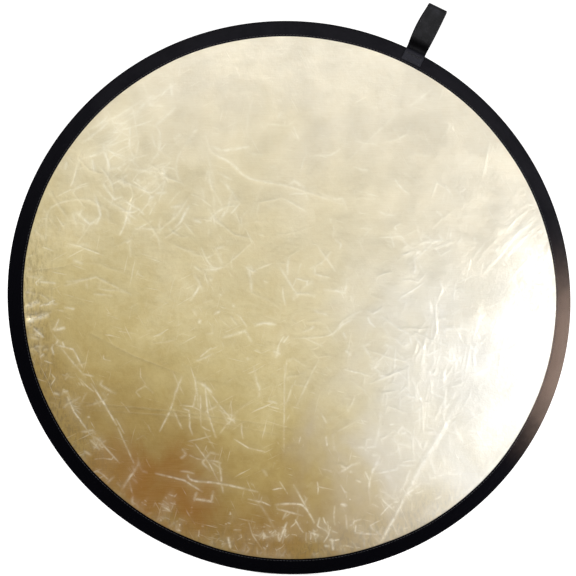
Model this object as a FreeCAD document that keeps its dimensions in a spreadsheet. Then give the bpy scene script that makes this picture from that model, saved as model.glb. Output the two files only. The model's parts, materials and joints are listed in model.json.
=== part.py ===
"""Collapsible reflector disc: a zipped two-sided cover over a diffuser on a spring-steel hoop.

Frame: millimetres, +Z up. The origin is the centre of the disc, half way through its thickness.
The disc stands upright in the XZ plane. The gold front faces -Y and the silver rear faces +Y.
Angles around the disc start at +X and run up towards +Z, so 90 degrees is the top.
"""

import FreeCAD, Part
import math
import os
import Sketcher

V = FreeCAD.Vector

SIZES = {
    # the disc as a whole
    "disc_radius": 280.0,
    "rim_thickness": 8.6,
    "band_width": 15.5,
    "band_thickness": 0.6,
    "band_chamfer": 0.25,
    "gap_between_plies": 0.05,
    "gap_in_seams": 0.1,
    # the two panels
    "ply_thickness": 0.2,
    "panel_radius": 274.0,
    # stitching
    "thread_width": 0.5,
    "thread_height": 0.2,
    "band_stitch_inset": 1.8,
    "sleeve_stitch_inset": 2.0,
    # edge tape on the part of the rim that has no zip
    "edge_tape_radius": 279.4,
    "edge_tape_thickness": 0.6,
    "edge_tape_end_gap": 0.2,
    # zip
    "zip_first_angle": 107.0,
    "zip_last_angle": 253.0,
    "zip_tape_radius": 274.1,
    "zip_tape_thickness": 0.4,
    "zip_tape_flange": 4.3,
    "zip_tape_mid_gap": 1.0,
    "coil_radius": 274.55,
    "coil_height": 1.8,
    "coil_width": 2.1,
    "coil_chamfer": 0.4,
    "coil_mid_gap": 0.05,
    "coil_end_gap": 0.1,
    "stop_arc": 0.6,
    "stop_mid_gap": 0.15,
    "top_stop_gap": 0.2,
    "bottom_stop_inset": 0.3,
    "stop_height": 2.0,
    "stop_width": 1.9,
    "slider_angle": 108.3,
    "slider_arc": 2.0,
    "slider_width": 6.2,
    "slider_plate": 0.65,
    "slider_inner_radius": 273.35,
    "slider_outer_radius": 277.25,
    "slider_rail": 0.7,
    "slider_tape_clearance": 0.15,
    "wedge_arc": 0.45,
    "wedge_width": 1.8,
    "bail_top": 279.5,
    "bail_thickness": 0.6,
    "bail_width": 1.6,
    "bail_arc": 1.0,
    "bail_hole_arc": 0.5,
    "bail_root": 0.1,
    "pull_pivot_radius": 278.1,
    "pull_bar_radius": 0.45,
    "pull_length": 15.0,
    "pull_width": 4.4,
    "pull_window_length": 4.2,
    "pull_window_width": 2.2,
    "pull_corner": 1.2,
    # diffuser and its sleeve
    "diffuser_radius": 268.0,
    "sleeve_inner_radius": 258.0,
    "sleeve_leg_gap": 0.15,
    "sleeve_wall": 0.3,
    "sleeve_cavity_inner": 270.05,
    "sleeve_cavity_outer": 272.95,
    "sleeve_cavity_width": 5.6,
    "sleeve_shoulder": 0.35,
    # hoop and its ferrule
    "hoop_radius": 271.5,
    "hoop_thickness": 0.6,
    "hoop_width": 4.0,
    "hoop_gap_arc": 0.4,
    "ferrule_arc": 7.6,
    "ferrule_clearance": 0.05,
    "ferrule_wall": 0.4,
    "rivet_angle": 1.9,
    "rivet_radius": 0.9,
    "rivet_clearance": 0.05,
    "rivet_head_radius": 1.5,
    "rivet_head_height": 0.3,
    "drill_overrun": 1.0,
    "wrap_arc": 8.4,
    "wrap_clearance": 0.05,
    "wrap_wall": 0.2,
    # hang loop
    "loop_angle": 63.5,
    "loop_direction": 64.6,
    "strap_width": 20.0,
    "strap_thickness": 1.2,
    "loop_bend_radius": 2.5,
    "loop_tip_radius": 329.5,
    "loop_root_radius": 283.0,
    "strap_end_length": 10.0,
    "strap_gap": 0.05,
    "loop_root_gap": 0.1,
    "strap_turn_gap": 0.3,
    "tack_width": 0.8,
    "tack_height": 0.3,
    "tack_inset": 1.2,
    "tack_side_inset": 2.0,
}

FRONT = -1
REAR = 1

# Distances from the mid-plane, outwards through the layers of one panel.
BAND_TOP = "Sizes.rim_thickness / 2"
BAND_UNDER = BAND_TOP + " - Sizes.band_thickness"
FACE_TOP = BAND_UNDER + " - Sizes.gap_between_plies"
FACE_UNDER = FACE_TOP + " - Sizes.ply_thickness"
LINING_TOP = FACE_UNDER + " - Sizes.gap_between_plies"
TAPE_TOP = BAND_UNDER + " - Sizes.gap_in_seams"
TAPE_UNDER = TAPE_TOP + " - Sizes.zip_tape_thickness"


def make_sheet(doc):
    """Writes every driving dimension as a number with an alias."""
    sheet = doc.addObject("Spreadsheet::Sheet", "Sizes")
    for row, (alias, value) in enumerate(SIZES.items(), start=1):
        sheet.set(f"A{row}", alias)
        sheet.set(f"B{row}", str(value))
        sheet.setAlias(f"B{row}", alias)
    doc.recompute()
    return sheet


def value(doc, expression):
    """The number that an expression over the sheet gives now."""
    return float(doc.Sizes.evalExpression(expression))


def origin_plane(body, role):
    """The body's own origin plane, such as XY_Plane."""
    for feature in body.Origin.OriginFeatures:
        if feature.Role == role:
            return feature
    raise ValueError(f"{body.Label} has no plane {role}")


def new_body(doc, label):
    body = doc.addObject("PartDesign::Body", label)
    body.Label = label
    return body


def new_sketch(body, plane, name="sketch"):
    sketch = body.newObject("Sketcher::SketchObject", f"{body.Label}_{name}")
    sketch.AttachmentSupport = [(origin_plane(body, plane), "")]
    sketch.MapMode = "FlatFace"
    return sketch


def bind(sketch, constraint, name, expression):
    """Adds a dimension to a sketch and binds it to the sheet."""
    index = sketch.addConstraint(constraint)
    sketch.renameConstraint(index, name)
    sketch.setExpression(f"Constraints.{name}", expression)


def pin_point(sketch, edge, end, name, point, across, up):
    """Holds one end of an edge at (across, up) from the sketch's origin."""
    bind(sketch, Sketcher.Constraint("DistanceX", -1, 1, edge, end, point.x), f"{name}_across", across)
    bind(sketch, Sketcher.Constraint("DistanceY", -1, 1, edge, end, point.y), f"{name}_up", up)


def draw_outline(doc, sketch, corners):
    """Closes a polygon through corners, each an (across, up) pair of expressions."""
    first = sketch.GeometryCount
    points = [V(value(doc, across), value(doc, up), 0) for across, up in corners]
    count = len(points)
    for i in range(count):
        sketch.addGeometry(Part.LineSegment(points[i], points[(i + 1) % count]), False)
    for i in range(count):
        sketch.addConstraint(Sketcher.Constraint("Coincident", first + i, 2, first + (i + 1) % count, 1))
    for i, (across, up) in enumerate(corners):
        pin_point(sketch, first + i, 1, f"corner{first + i}", points[i], across, up)


def rectangle(across_low, across_high, up_low, up_high):
    """The four corners of a rectangle, as expressions."""
    return [
        (across_low, up_low),
        (across_high, up_low),
        (across_high, up_high),
        (across_low, up_high),
    ]


def on_side(side, corners):
    """Corners given outwards from the mid-plane, placed on the front or the rear side."""
    return [(across, f"{side} * ({up})") for across, up in corners]


def turn_about_axis(body, angle):
    """Turns a body about the disc's axis, so that its +X lands at an angle around the disc."""
    body.Placement = FreeCAD.Placement(V(), FreeCAD.Rotation(V(0, -1, 0), 0))
    body.setExpression(".Placement.Rotation.Angle", angle)


def add_ring(doc, label, outlines, last_angle="0", arc="360"):
    """Revolves outlines of (radius, distance from mid-plane) about the disc's axis.

    The ring ends at last_angle and starts arc degrees before it.
    """
    body = new_body(doc, label)
    sketch = new_sketch(body, "XY_Plane")
    for corners in outlines:
        draw_outline(doc, sketch, corners)
    ring = body.newObject("PartDesign::Revolution", f"{label}_revolution")
    ring.Profile = sketch
    ring.ReferenceAxis = (sketch, ["V_Axis"])
    ring.setExpression("Angle", arc)
    if last_angle != "0":
        turn_about_axis(body, last_angle)
    return body


def add_sheet_disc(doc, label, radius, thickness, rear_surface):
    """A round ply: rear_surface is the height in Y of the side that faces +Y."""
    body = new_body(doc, label)
    sketch = new_sketch(body, "XZ_Plane")
    sketch.addGeometry(Part.Circle(V(), V(0, 0, 1), value(doc, radius)), False)
    sketch.addConstraint(Sketcher.Constraint("Coincident", 0, 3, -1, 1))
    bind(sketch, Sketcher.Constraint("Radius", 0, value(doc, radius)), "radius", radius)
    pad = body.newObject("PartDesign::Pad", f"{label}_pad")
    pad.Profile = sketch
    pad.setExpression("Length", thickness)
    body.setExpression(".Placement.Base.y", rear_surface)
    return body


def add_panel_plies(doc):
    """The face and the lining of the front and the rear panel."""
    ply = "Sizes.ply_thickness"
    radius = "Sizes.panel_radius"
    add_sheet_disc(doc, "gold_face", radius, ply, f"-({FACE_UNDER})")
    add_sheet_disc(doc, "white_lining", radius, ply, f"{ply} - ({LINING_TOP})")
    add_sheet_disc(doc, "silver_face", radius, ply, FACE_TOP)
    add_sheet_disc(doc, "black_lining", radius, ply, LINING_TOP)


def add_band(doc, label, side):
    """The woven binding of one panel, with its outer edge eased."""
    inner = "Sizes.disc_radius - Sizes.band_width"
    ease = "Sizes.band_chamfer"
    corners = [
        (inner, BAND_UNDER),
        ("Sizes.disc_radius", BAND_UNDER),
        ("Sizes.disc_radius", f"{BAND_TOP} - {ease}"),
        (f"Sizes.disc_radius - {ease}", BAND_TOP),
        (f"{inner} + {ease}", BAND_TOP),
        (inner, f"{BAND_TOP} - {ease}"),
    ]
    return add_ring(doc, label, [on_side(side, corners)])


def add_band_stitching(doc, label, side):
    """The line of thread near the inner edge of a binding."""
    inner = "Sizes.disc_radius - Sizes.band_width + Sizes.band_stitch_inset"
    foot = f"{BAND_TOP} + Sizes.gap_between_plies"
    corners = rectangle(
        inner, f"{inner} + Sizes.thread_width", foot, f"{foot} + Sizes.thread_height"
    )
    return add_ring(doc, label, [on_side(side, corners)])


def add_closed_edge_tape(doc):
    """The tape that joins the two bindings on the part of the rim with no zip."""
    outer = "Sizes.edge_tape_radius"
    corners = rectangle(f"{outer} - Sizes.edge_tape_thickness", outer, f"-({TAPE_TOP})", TAPE_TOP)
    gap = "Sizes.edge_tape_end_gap"
    last = f"Sizes.zip_first_angle - {gap}"
    arc = f"360 - Sizes.zip_last_angle + Sizes.zip_first_angle - 2 * {gap}"
    return add_ring(doc, "closed_edge_tape", [corners], last, arc)


def add_zip_tape(doc, label, side):
    """One tape of the zip: a wall across the rim, with a flange sewn under the binding."""
    inner = "Sizes.zip_tape_radius"
    wall = f"{inner} + Sizes.zip_tape_thickness"
    flange = f"{inner} + Sizes.zip_tape_flange"
    corners = [
        (inner, "Sizes.zip_tape_mid_gap"),
        (wall, "Sizes.zip_tape_mid_gap"),
        (wall, TAPE_UNDER),
        (flange, TAPE_UNDER),
        (flange, TAPE_TOP),
        (inner, TAPE_TOP),
    ]
    arc = "Sizes.zip_last_angle - Sizes.zip_first_angle"
    return add_ring(doc, label, [on_side(side, corners)], "Sizes.zip_last_angle", arc)


BOTTOM_STOP_LAST = "Sizes.zip_last_angle - Sizes.bottom_stop_inset"
COIL_FIRST = "Sizes.slider_angle + Sizes.wedge_arc + Sizes.coil_end_gap"
COIL_LAST = f"{BOTTOM_STOP_LAST} - Sizes.stop_arc - Sizes.coil_end_gap"


def add_zip_coil(doc, label, side):
    """One half of the closed zip's coil, as the bead that its turns fill."""
    inner = "Sizes.coil_radius"
    outer = f"{inner} + Sizes.coil_height"
    near = "Sizes.coil_mid_gap"
    far = f"{near} + Sizes.coil_width"
    ease = "Sizes.coil_chamfer"
    corners = [
        (inner, near),
        (outer, near),
        (outer, f"{far} - {ease}"),
        (f"{outer} - {ease}", far),
        (inner, far),
    ]
    arc = f"({COIL_LAST}) - ({COIL_FIRST})"
    return add_ring(doc, label, [on_side(side, corners)], COIL_LAST, arc)


def add_zip_stops(doc):
    """The pair of top stops, one on each tape, and the bottom stop across both coils."""
    inner = "Sizes.coil_radius"
    outer = f"{inner} + Sizes.stop_height"
    near = "Sizes.stop_mid_gap"
    top_stop = rectangle(inner, outer, near, f"{near} + Sizes.stop_width")
    top_stops = [on_side(FRONT, top_stop), on_side(REAR, top_stop)]
    top_last = "Sizes.slider_angle - Sizes.top_stop_gap"
    add_ring(doc, "zip_top_stops", top_stops, top_last, "Sizes.stop_arc")
    bottom_stop = rectangle(inner, outer, "-Sizes.stop_width", "Sizes.stop_width")
    add_ring(doc, "zip_bottom_stop", [bottom_stop], BOTTOM_STOP_LAST, "Sizes.stop_arc")


def slider_section():
    """Outer plate with its two rails, and the inner plate, as two outlines of one section."""
    half = "Sizes.slider_width / 2"
    inner = "Sizes.slider_inner_radius"
    outer = "Sizes.slider_outer_radius"
    plate = "Sizes.slider_plate"
    rail_foot = "Sizes.zip_tape_radius + Sizes.zip_tape_thickness + Sizes.slider_tape_clearance"
    rail = f"{half} - Sizes.slider_rail"
    crown = [
        (rail_foot, f"-({half})"),
        (outer, f"-({half})"),
        (outer, half),
        (rail_foot, half),
        (rail_foot, rail),
        (f"{outer} - {plate}", rail),
        (f"{outer} - {plate}", f"-({rail})"),
        (rail_foot, f"-({rail})"),
    ]
    base = rectangle(inner, f"{inner} + {plate}", f"-({half})", half)
    return [crown, base]


def add_zip_slider(doc):
    """Two plates around the coil, the wedge that joins them, and the bail that holds the pull."""
    start = "Sizes.slider_angle"
    inner = "Sizes.slider_inner_radius"
    outer = "Sizes.slider_outer_radius"
    half_wedge = "Sizes.wedge_width / 2"
    half_bail = "Sizes.bail_width / 2"
    wedge = rectangle(inner, outer, f"-{half_wedge}", half_wedge)
    arch = rectangle(f"{outer} - Sizes.bail_root", "Sizes.bail_top", f"-{half_bail}", half_bail)
    eye = rectangle(
        outer, "Sizes.bail_top - Sizes.bail_thickness", "-Sizes.bail_width", "Sizes.bail_width"
    )
    arch_last = f"{start} + (Sizes.slider_arc + Sizes.bail_arc) / 2"
    eye_last = f"{start} + (Sizes.slider_arc + Sizes.bail_hole_arc) / 2"
    slider_last = f"{start} + Sizes.slider_arc"
    plates = add_ring(doc, "slider_plates", slider_section(), slider_last, "Sizes.slider_arc")
    wedge_ring = add_ring(doc, "slider_wedge", [wedge], f"{start} + Sizes.wedge_arc", "Sizes.wedge_arc")
    bail = doc.addObject("Part::Cut", "slider_bail")
    bail.Base = add_ring(doc, "slider_bail_arch", [arch], arch_last, "Sizes.bail_arc")
    bail.Tool = add_ring(doc, "slider_bail_eye", [eye], eye_last, "Sizes.bail_hole_arc")
    slider = doc.addObject("Part::MultiFuse", "zip_slider")
    slider.Label = "zip_slider"
    slider.Shapes = [plates, wedge_ring, bail]
    return slider


def add_zip_pull(doc):
    """A flat tab with a window whose end bar turns inside the slider's bail.

    Local frame: +Z runs along the tab from the bar, X is outwards from the rim, Y along the bar.
    """
    body = new_body(doc, "zip_pull")
    outline = new_sketch(body, "YZ_Plane", "tab")
    half = "Sizes.pull_width / 2"
    corner = "Sizes.pull_corner"
    draw_outline(
        doc,
        outline,
        [
            (f"-({half})", "0"),
            (half, "0"),
            (half, f"Sizes.pull_length - {corner}"),
            (f"{half} - {corner}", "Sizes.pull_length"),
            (f"{corner} - {half}", "Sizes.pull_length"),
            (f"-({half})", f"Sizes.pull_length - {corner}"),
        ],
    )
    tab = body.newObject("PartDesign::Pad", "zip_pull_pad")
    tab.Profile = outline
    tab.Midplane = True
    tab.setExpression("Length", "2 * Sizes.pull_bar_radius")
    window = new_sketch(body, "YZ_Plane", "window")
    half_window = "Sizes.pull_window_width / 2"
    window_foot = "Sizes.pull_bar_radius"
    draw_outline(
        doc,
        window,
        rectangle(f"-{half_window}", half_window, window_foot, f"{window_foot} + Sizes.pull_window_length"),
    )
    cut = body.newObject("PartDesign::Pocket", "zip_pull_window_cut")
    cut.Profile = window
    cut.Midplane = True
    cut.setExpression("Length", "4 * Sizes.pull_bar_radius")
    bar = body.newObject("PartDesign::AdditiveCylinder", "zip_pull_bar")
    bar.AttachmentSupport = [(origin_plane(body, "XZ_Plane"), "")]
    bar.MapMode = "FlatFace"
    bar.setExpression("Radius", "Sizes.pull_bar_radius")
    bar.setExpression("Height", "Sizes.pull_width")
    bar.setExpression(".AttachmentOffset.Base.z", f"-({half})")
    body.Placement = FreeCAD.Placement(V(), FreeCAD.Rotation(V(0, -1, 0), 0))
    angle = "(Sizes.slider_angle + Sizes.slider_arc / 2)"
    body.setExpression(".Placement.Rotation.Angle", angle)
    body.setExpression(".Placement.Base.x", f"Sizes.pull_pivot_radius * cos({angle} * 1deg)")
    body.setExpression(".Placement.Base.z", f"Sizes.pull_pivot_radius * sin({angle} * 1deg)")
    return body


def add_diffuser_sheet(doc):
    """The translucent sheet in the middle of the disc."""
    ply = "Sizes.ply_thickness"
    return add_sheet_disc(doc, "diffuser_sheet", "Sizes.diffuser_radius", ply, f"{ply} / 2")


def add_hoop_sleeve(doc):
    """The tape folded around the hoop, with two legs that hold the diffuser's edge."""
    wall = "Sizes.sleeve_wall"
    leg = "Sizes.sleeve_leg_gap"
    cavity_half = "Sizes.sleeve_cavity_width / 2"
    cavity_inner = "Sizes.sleeve_cavity_inner"
    cavity_outer = "Sizes.sleeve_cavity_outer"
    free_edge = "Sizes.sleeve_inner_radius"
    shoulder = "Sizes.sleeve_shoulder"
    outside = [
        (free_edge, f"{leg} + {wall}"),
        (f"{cavity_inner} - {wall} - {shoulder}", f"{leg} + {wall}"),
        (f"{cavity_inner} - {wall}", f"{cavity_half} + {wall}"),
        (f"{cavity_outer} + {wall}", f"{cavity_half} + {wall}"),
    ]
    inside = [
        (cavity_outer, cavity_half),
        (cavity_inner, cavity_half),
        (f"{cavity_inner} - {shoulder}", leg),
        (free_edge, leg),
    ]
    corners = (
        outside
        + on_side(-1, list(reversed(outside)))
        + on_side(-1, list(reversed(inside)))
        + inside
    )
    return add_ring(doc, "hoop_sleeve", [corners])


def add_sleeve_stitching(doc):
    """A line of thread on each leg of the sleeve."""
    inner = "Sizes.sleeve_inner_radius + Sizes.sleeve_stitch_inset"
    foot = "Sizes.sleeve_leg_gap + Sizes.sleeve_wall + Sizes.gap_between_plies"
    line = rectangle(inner, f"{inner} + Sizes.thread_width", foot, f"{foot} + Sizes.thread_height")
    return add_ring(doc, "sleeve_stitching", [on_side(FRONT, line), on_side(REAR, line)])


def radial_cylinder(doc, name, angle, radius, inner, outer):
    """A cylinder whose axis points away from the disc's centre at an angle."""
    cylinder = doc.addObject("Part::Cylinder", name)
    cylinder.setExpression("Radius", radius)
    cylinder.setExpression("Height", f"({outer}) - ({inner})")
    cylinder.Placement = FreeCAD.Placement(V(), FreeCAD.Rotation(V(0, 1, 0), 90))
    cylinder.setExpression(".Placement.Rotation.Angle", f"90 - ({angle})")
    cylinder.setExpression(".Placement.Base.x", f"({inner}) * cos(({angle}) * 1deg)")
    cylinder.setExpression(".Placement.Base.z", f"({inner}) * sin(({angle}) * 1deg)")
    return cylinder


HOOP_INNER = "Sizes.hoop_radius - Sizes.hoop_thickness / 2"
HOOP_OUTER = "Sizes.hoop_radius + Sizes.hoop_thickness / 2"
FERRULE_INNER = f"{HOOP_INNER} - Sizes.ferrule_clearance - Sizes.ferrule_wall"
FERRULE_OUTER = f"{HOOP_OUTER} + Sizes.ferrule_clearance + Sizes.ferrule_wall"
RIVET_ANGLES = {"upper": "Sizes.rivet_angle", "lower": "-Sizes.rivet_angle"}


def cut_rivet_holes(doc, blank, label):
    """The blank with one radial hole for each rivet."""
    holes = doc.addObject("Part::MultiFuse", f"{label}_holes")
    radius = "Sizes.rivet_radius + Sizes.rivet_clearance"
    low = f"{FERRULE_INNER} - Sizes.drill_overrun"
    high = f"{FERRULE_OUTER} + Sizes.drill_overrun"
    holes.Shapes = [
        radial_cylinder(doc, f"{label}_{end}_hole", angle, radius, low, high)
        for end, angle in RIVET_ANGLES.items()
    ]
    drilled = doc.addObject("Part::Cut", label)
    drilled.Label = label
    drilled.Base = blank
    drilled.Tool = holes
    return drilled


def add_spring_hoop(doc):
    """The flat steel band, open at the ferrule and drilled at both ends."""
    half = "Sizes.hoop_width / 2"
    section = rectangle(HOOP_INNER, HOOP_OUTER, f"-{half}", half)
    blank = add_ring(
        doc, "hoop_blank", [section], "-Sizes.hoop_gap_arc / 2", "360 - Sizes.hoop_gap_arc"
    )
    return cut_rivet_holes(doc, blank, "spring_hoop")


def add_tube(doc, label, inner_pair, outer_pair, half_arc):
    """A short rectangular tube that follows the hoop, centred at angle zero.

    Each pair is (inner radius, outer radius, half width) of the cavity and of the outside.
    """
    outlines = [
        rectangle(low, high, f"-({half})", half) for low, high, half in (outer_pair, inner_pair)
    ]
    return add_ring(doc, label, outlines, half_arc, f"2 * {half_arc}")


def add_hoop_ferrule(doc):
    """The steel tube that joins the hoop's two ends."""
    clear = "Sizes.ferrule_clearance"
    wall = "Sizes.ferrule_wall"
    half = f"Sizes.hoop_width / 2 + {clear}"
    cavity = (f"{HOOP_INNER} - {clear}", f"{HOOP_OUTER} + {clear}", half)
    outside = (FERRULE_INNER, FERRULE_OUTER, f"{half} + {wall}")
    blank = add_tube(doc, "ferrule_blank", cavity, outside, "Sizes.ferrule_arc / 2")
    return cut_rivet_holes(doc, blank, "hoop_ferrule")


def add_ferrule_rivets(doc):
    """Two rivets, each with a shank through the ferrule and the hoop and a head at both ends."""
    pieces = []
    lift = "Sizes.rivet_clearance"
    head = "Sizes.rivet_head_height"
    for end, angle in RIVET_ANGLES.items():
        shank_low = f"{FERRULE_INNER} - {lift}"
        shank_high = f"{FERRULE_OUTER} + {lift}"
        spans = {
            "shank": ("Sizes.rivet_radius", shank_low, shank_high),
            "inner_head": ("Sizes.rivet_head_radius", f"{shank_low} - {head}", shank_low),
            "outer_head": ("Sizes.rivet_head_radius", shank_high, f"{shank_high} + {head}"),
        }
        rivet = doc.addObject("Part::MultiFuse", f"rivet_{end}")
        rivet.Shapes = [
            radial_cylinder(doc, f"rivet_{end}_{name}", angle, radius, low, high)
            for name, (radius, low, high) in spans.items()
        ]
        pieces.append(rivet)
    rivets = doc.addObject("Part::Compound", "ferrule_rivets")
    rivets.Label = "ferrule_rivets"
    rivets.Links = pieces
    return rivets


def add_ferrule_tape(doc):
    """The chafe tape around the ferrule and its rivets."""
    reach = "Sizes.rivet_clearance + Sizes.rivet_head_height + Sizes.wrap_clearance"
    ferrule_half = "Sizes.hoop_width / 2 + Sizes.ferrule_clearance + Sizes.ferrule_wall"
    half = f"{ferrule_half} + Sizes.wrap_clearance"
    low = f"{FERRULE_INNER} - ({reach})"
    high = f"{FERRULE_OUTER} + {reach}"
    wall = "Sizes.wrap_wall"
    cavity = (low, high, half)
    outside = (f"{low} - {wall}", f"{high} + {wall}", f"{half} + {wall}")
    return add_tube(doc, "ferrule_tape", cavity, outside, "Sizes.wrap_arc / 2")


def stand_on_rim(body):
    """Puts a strap piece at its root on the rim, with its +Z along the hang loop."""
    body.Placement = FreeCAD.Placement(V(), FreeCAD.Rotation(V(0, 1, 0), 0))
    body.setExpression(".Placement.Rotation.Angle", "90 - Sizes.loop_direction")
    root = "Sizes.loop_root_radius"
    body.setExpression(".Placement.Base.x", f"{root} * cos(Sizes.loop_angle * 1deg)")
    body.setExpression(".Placement.Base.z", f"{root} * sin(Sizes.loop_angle * 1deg)")


def pad_across_strap(body, sketch, length):
    pad = body.newObject("PartDesign::Pad", f"{body.Label}_pad")
    pad.Profile = sketch
    pad.Midplane = True
    pad.setExpression("Length", length)


def draw_loop(doc, sketch, name, root_radius, bend_radius, bend_height):
    """Closes a round root, two straight legs and a round bend around the strap's centre line."""
    first = sketch.GeometryCount
    root, right_leg, bend, left_leg = range(first, first + 4)
    small = value(doc, root_radius)
    large = value(doc, bend_radius)
    high = value(doc, bend_height)
    up = V(0, 0, 1)
    sketch.addGeometry(Part.ArcOfCircle(Part.Circle(V(), up, small), math.pi, 2 * math.pi), False)
    sketch.addGeometry(Part.LineSegment(V(small, 0, 0), V(large, high, 0)), False)
    sketch.addGeometry(Part.ArcOfCircle(Part.Circle(V(0, high, 0), up, large), 0, math.pi), False)
    sketch.addGeometry(Part.LineSegment(V(-large, high, 0), V(-small, 0, 0)), False)
    joins = [(root, 2, right_leg, 1), (right_leg, 2, bend, 1), (bend, 2, left_leg, 1), (left_leg, 2, root, 1)]
    for one, one_end, other, other_end in joins:
        sketch.addConstraint(Sketcher.Constraint("Coincident", one, one_end, other, other_end))
    for arc, label, radius, height in (
        (root, f"{name}_root", root_radius, "0"),
        (bend, f"{name}_bend", bend_radius, bend_height),
    ):
        sketch.addConstraint(Sketcher.Constraint("PointOnObject", arc, 3, -2))
        round_off = Sketcher.Constraint("Radius", arc, value(doc, radius))
        bind(sketch, round_off, f"{label}_radius", radius)
        for point in (1, 2, 3):
            level = Sketcher.Constraint("DistanceY", -1, 1, arc, point, value(doc, height))
            bind(sketch, level, f"{label}_level{point}", height)


def add_hang_loop(doc):
    """The free loop of webbing: two legs that open out from a round root to a round bend."""
    body = new_body(doc, "hang_loop")
    sketch = new_sketch(body, "YZ_Plane")
    gap = "Sizes.loop_root_gap"
    bend = "Sizes.loop_bend_radius"
    thick = "Sizes.strap_thickness"
    height = f"Sizes.loop_tip_radius - Sizes.loop_root_radius - {bend} - {thick}"
    draw_loop(doc, sketch, "outside", f"{gap} + {thick}", f"{bend} + {thick}", height)
    draw_loop(doc, sketch, "inside", gap, bend, height)
    pad_across_strap(body, sketch, "Sizes.strap_width")
    stand_on_rim(body)
    return body


def add_hang_loop_ends(doc):
    """The strap's two sewn ends: each lies on a binding and turns over the rim to the root."""
    body = new_body(doc, "hang_loop_ends")
    sketch = new_sketch(body, "YZ_Plane")
    thick = "Sizes.strap_thickness"
    under = f"{BAND_TOP} + Sizes.strap_gap"
    rim_edge = "Sizes.disc_radius - Sizes.loop_root_radius"
    turn_low = f"{rim_edge} + Sizes.strap_turn_gap"
    turn_high = f"{turn_low} + {thick}"
    foot = f"{rim_edge} - Sizes.strap_end_length"
    corners = [
        ("Sizes.loop_root_gap", turn_low),
        (under, turn_low),
        (under, foot),
        (f"{under} + {thick}", foot),
        (f"{under} + {thick}", turn_high),
        ("Sizes.loop_root_gap", turn_high),
    ]
    draw_outline(doc, sketch, corners)
    draw_outline(doc, sketch, [(f"-({across})", up) for across, up in corners])
    pad_across_strap(body, sketch, "Sizes.strap_width")
    stand_on_rim(body)
    return body


def add_loop_tacks(doc):
    """Bars of thread across the strap's sewn ends, two on each side of the rim."""
    body = new_body(doc, "loop_tacks")
    sketch = new_sketch(body, "YZ_Plane")
    surface = f"{BAND_TOP} + Sizes.strap_gap + Sizes.strap_thickness + Sizes.strap_gap"
    rim_edge = "Sizes.disc_radius - Sizes.loop_root_radius"
    low_bar = f"{rim_edge} - Sizes.strap_end_length + Sizes.tack_inset"
    high_bar = f"{rim_edge} - Sizes.tack_inset - Sizes.tack_width"
    for foot in (low_bar, high_bar):
        bar = rectangle(surface, f"{surface} + Sizes.tack_height", foot, f"{foot} + Sizes.tack_width")
        draw_outline(doc, sketch, bar)
        draw_outline(doc, sketch, [(f"-({across})", up) for across, up in bar])
    pad_across_strap(body, sketch, "Sizes.strap_width - 2 * Sizes.tack_side_inset")
    stand_on_rim(body)
    return body


def build(doc):
    """Adds every sub-part to the document."""
    make_sheet(doc)
    add_panel_plies(doc)
    for side, name in ((FRONT, "front"), (REAR, "rear")):
        add_band(doc, f"{name}_band", side)
        add_band_stitching(doc, f"{name}_band_stitching", side)
        add_zip_tape(doc, f"zip_tape_{name}", side)
        add_zip_coil(doc, f"zip_coil_{name}", side)
    add_closed_edge_tape(doc)
    add_zip_stops(doc)
    add_zip_slider(doc)
    add_zip_pull(doc)
    add_diffuser_sheet(doc)
    add_hoop_sleeve(doc)
    add_sleeve_stitching(doc)
    add_spring_hoop(doc)
    add_hoop_ferrule(doc)
    add_ferrule_rivets(doc)
    add_ferrule_tape(doc)
    add_hang_loop(doc)
    add_hang_loop_ends(doc)
    add_loop_tacks(doc)
    doc.recompute()


SUBPARTS = {
    "gold_face": 1,
    "white_lining": 1,
    "silver_face": 1,
    "black_lining": 1,
    "front_band": 1,
    "rear_band": 1,
    "front_band_stitching": 1,
    "rear_band_stitching": 1,
    "closed_edge_tape": 1,
    "zip_tape_front": 1,
    "zip_tape_rear": 1,
    "zip_coil_front": 1,
    "zip_coil_rear": 1,
    "zip_top_stops": 2,
    "zip_bottom_stop": 1,
    "zip_slider": 1,
    "zip_pull": 1,
    "diffuser_sheet": 1,
    "hoop_sleeve": 1,
    "sleeve_stitching": 2,
    "spring_hoop": 1,
    "hoop_ferrule": 1,
    "ferrule_rivets": 2,
    "ferrule_tape": 1,
    "hang_loop": 1,
    "hang_loop_ends": 2,
    "loop_tacks": 4,
}


def check(doc):
    """Stops if any object failed, or a sub-part isn't the valid solids it should be."""
    for item in doc.Objects:
        if "Invalid" in item.State or "Error" in item.State:
            raise RuntimeError(f"{item.Label} failed: {item.State}")
    for label, solids in SUBPARTS.items():
        shape = doc.getObjectsByLabel(label)[0].Shape
        if shape.isNull() or not shape.isValid():
            raise RuntimeError(f"{label} has no valid shape")
        if len(shape.Solids) != solids:
            raise RuntimeError(f"{label} has {len(shape.Solids)} solids, not {solids}")


def export(doc, folder):
    os.makedirs(folder, exist_ok=True)
    for label in SUBPARTS:
        shape = doc.getObjectsByLabel(label)[0].Shape
        shape.exportStep(os.path.join(folder, f"{label}.step"))


document = FreeCAD.newDocument("reflector_disc")
build(document)
check(document)
export(document, "parts")
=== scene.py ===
"""Looks of the collapsible reflector disc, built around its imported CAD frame.

The disc stands in the XZ plane around the origin. Its gold front faces -Y and its silver rear +Y.
An angle around the disc starts at +X and runs up towards +Z. Sizes are in metres.
"""

import json
import math

import bmesh
import bpy
import numpy as np
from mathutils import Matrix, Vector, kdtree, noise
from mathutils.geometry import delaunay_2d_cdt


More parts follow.
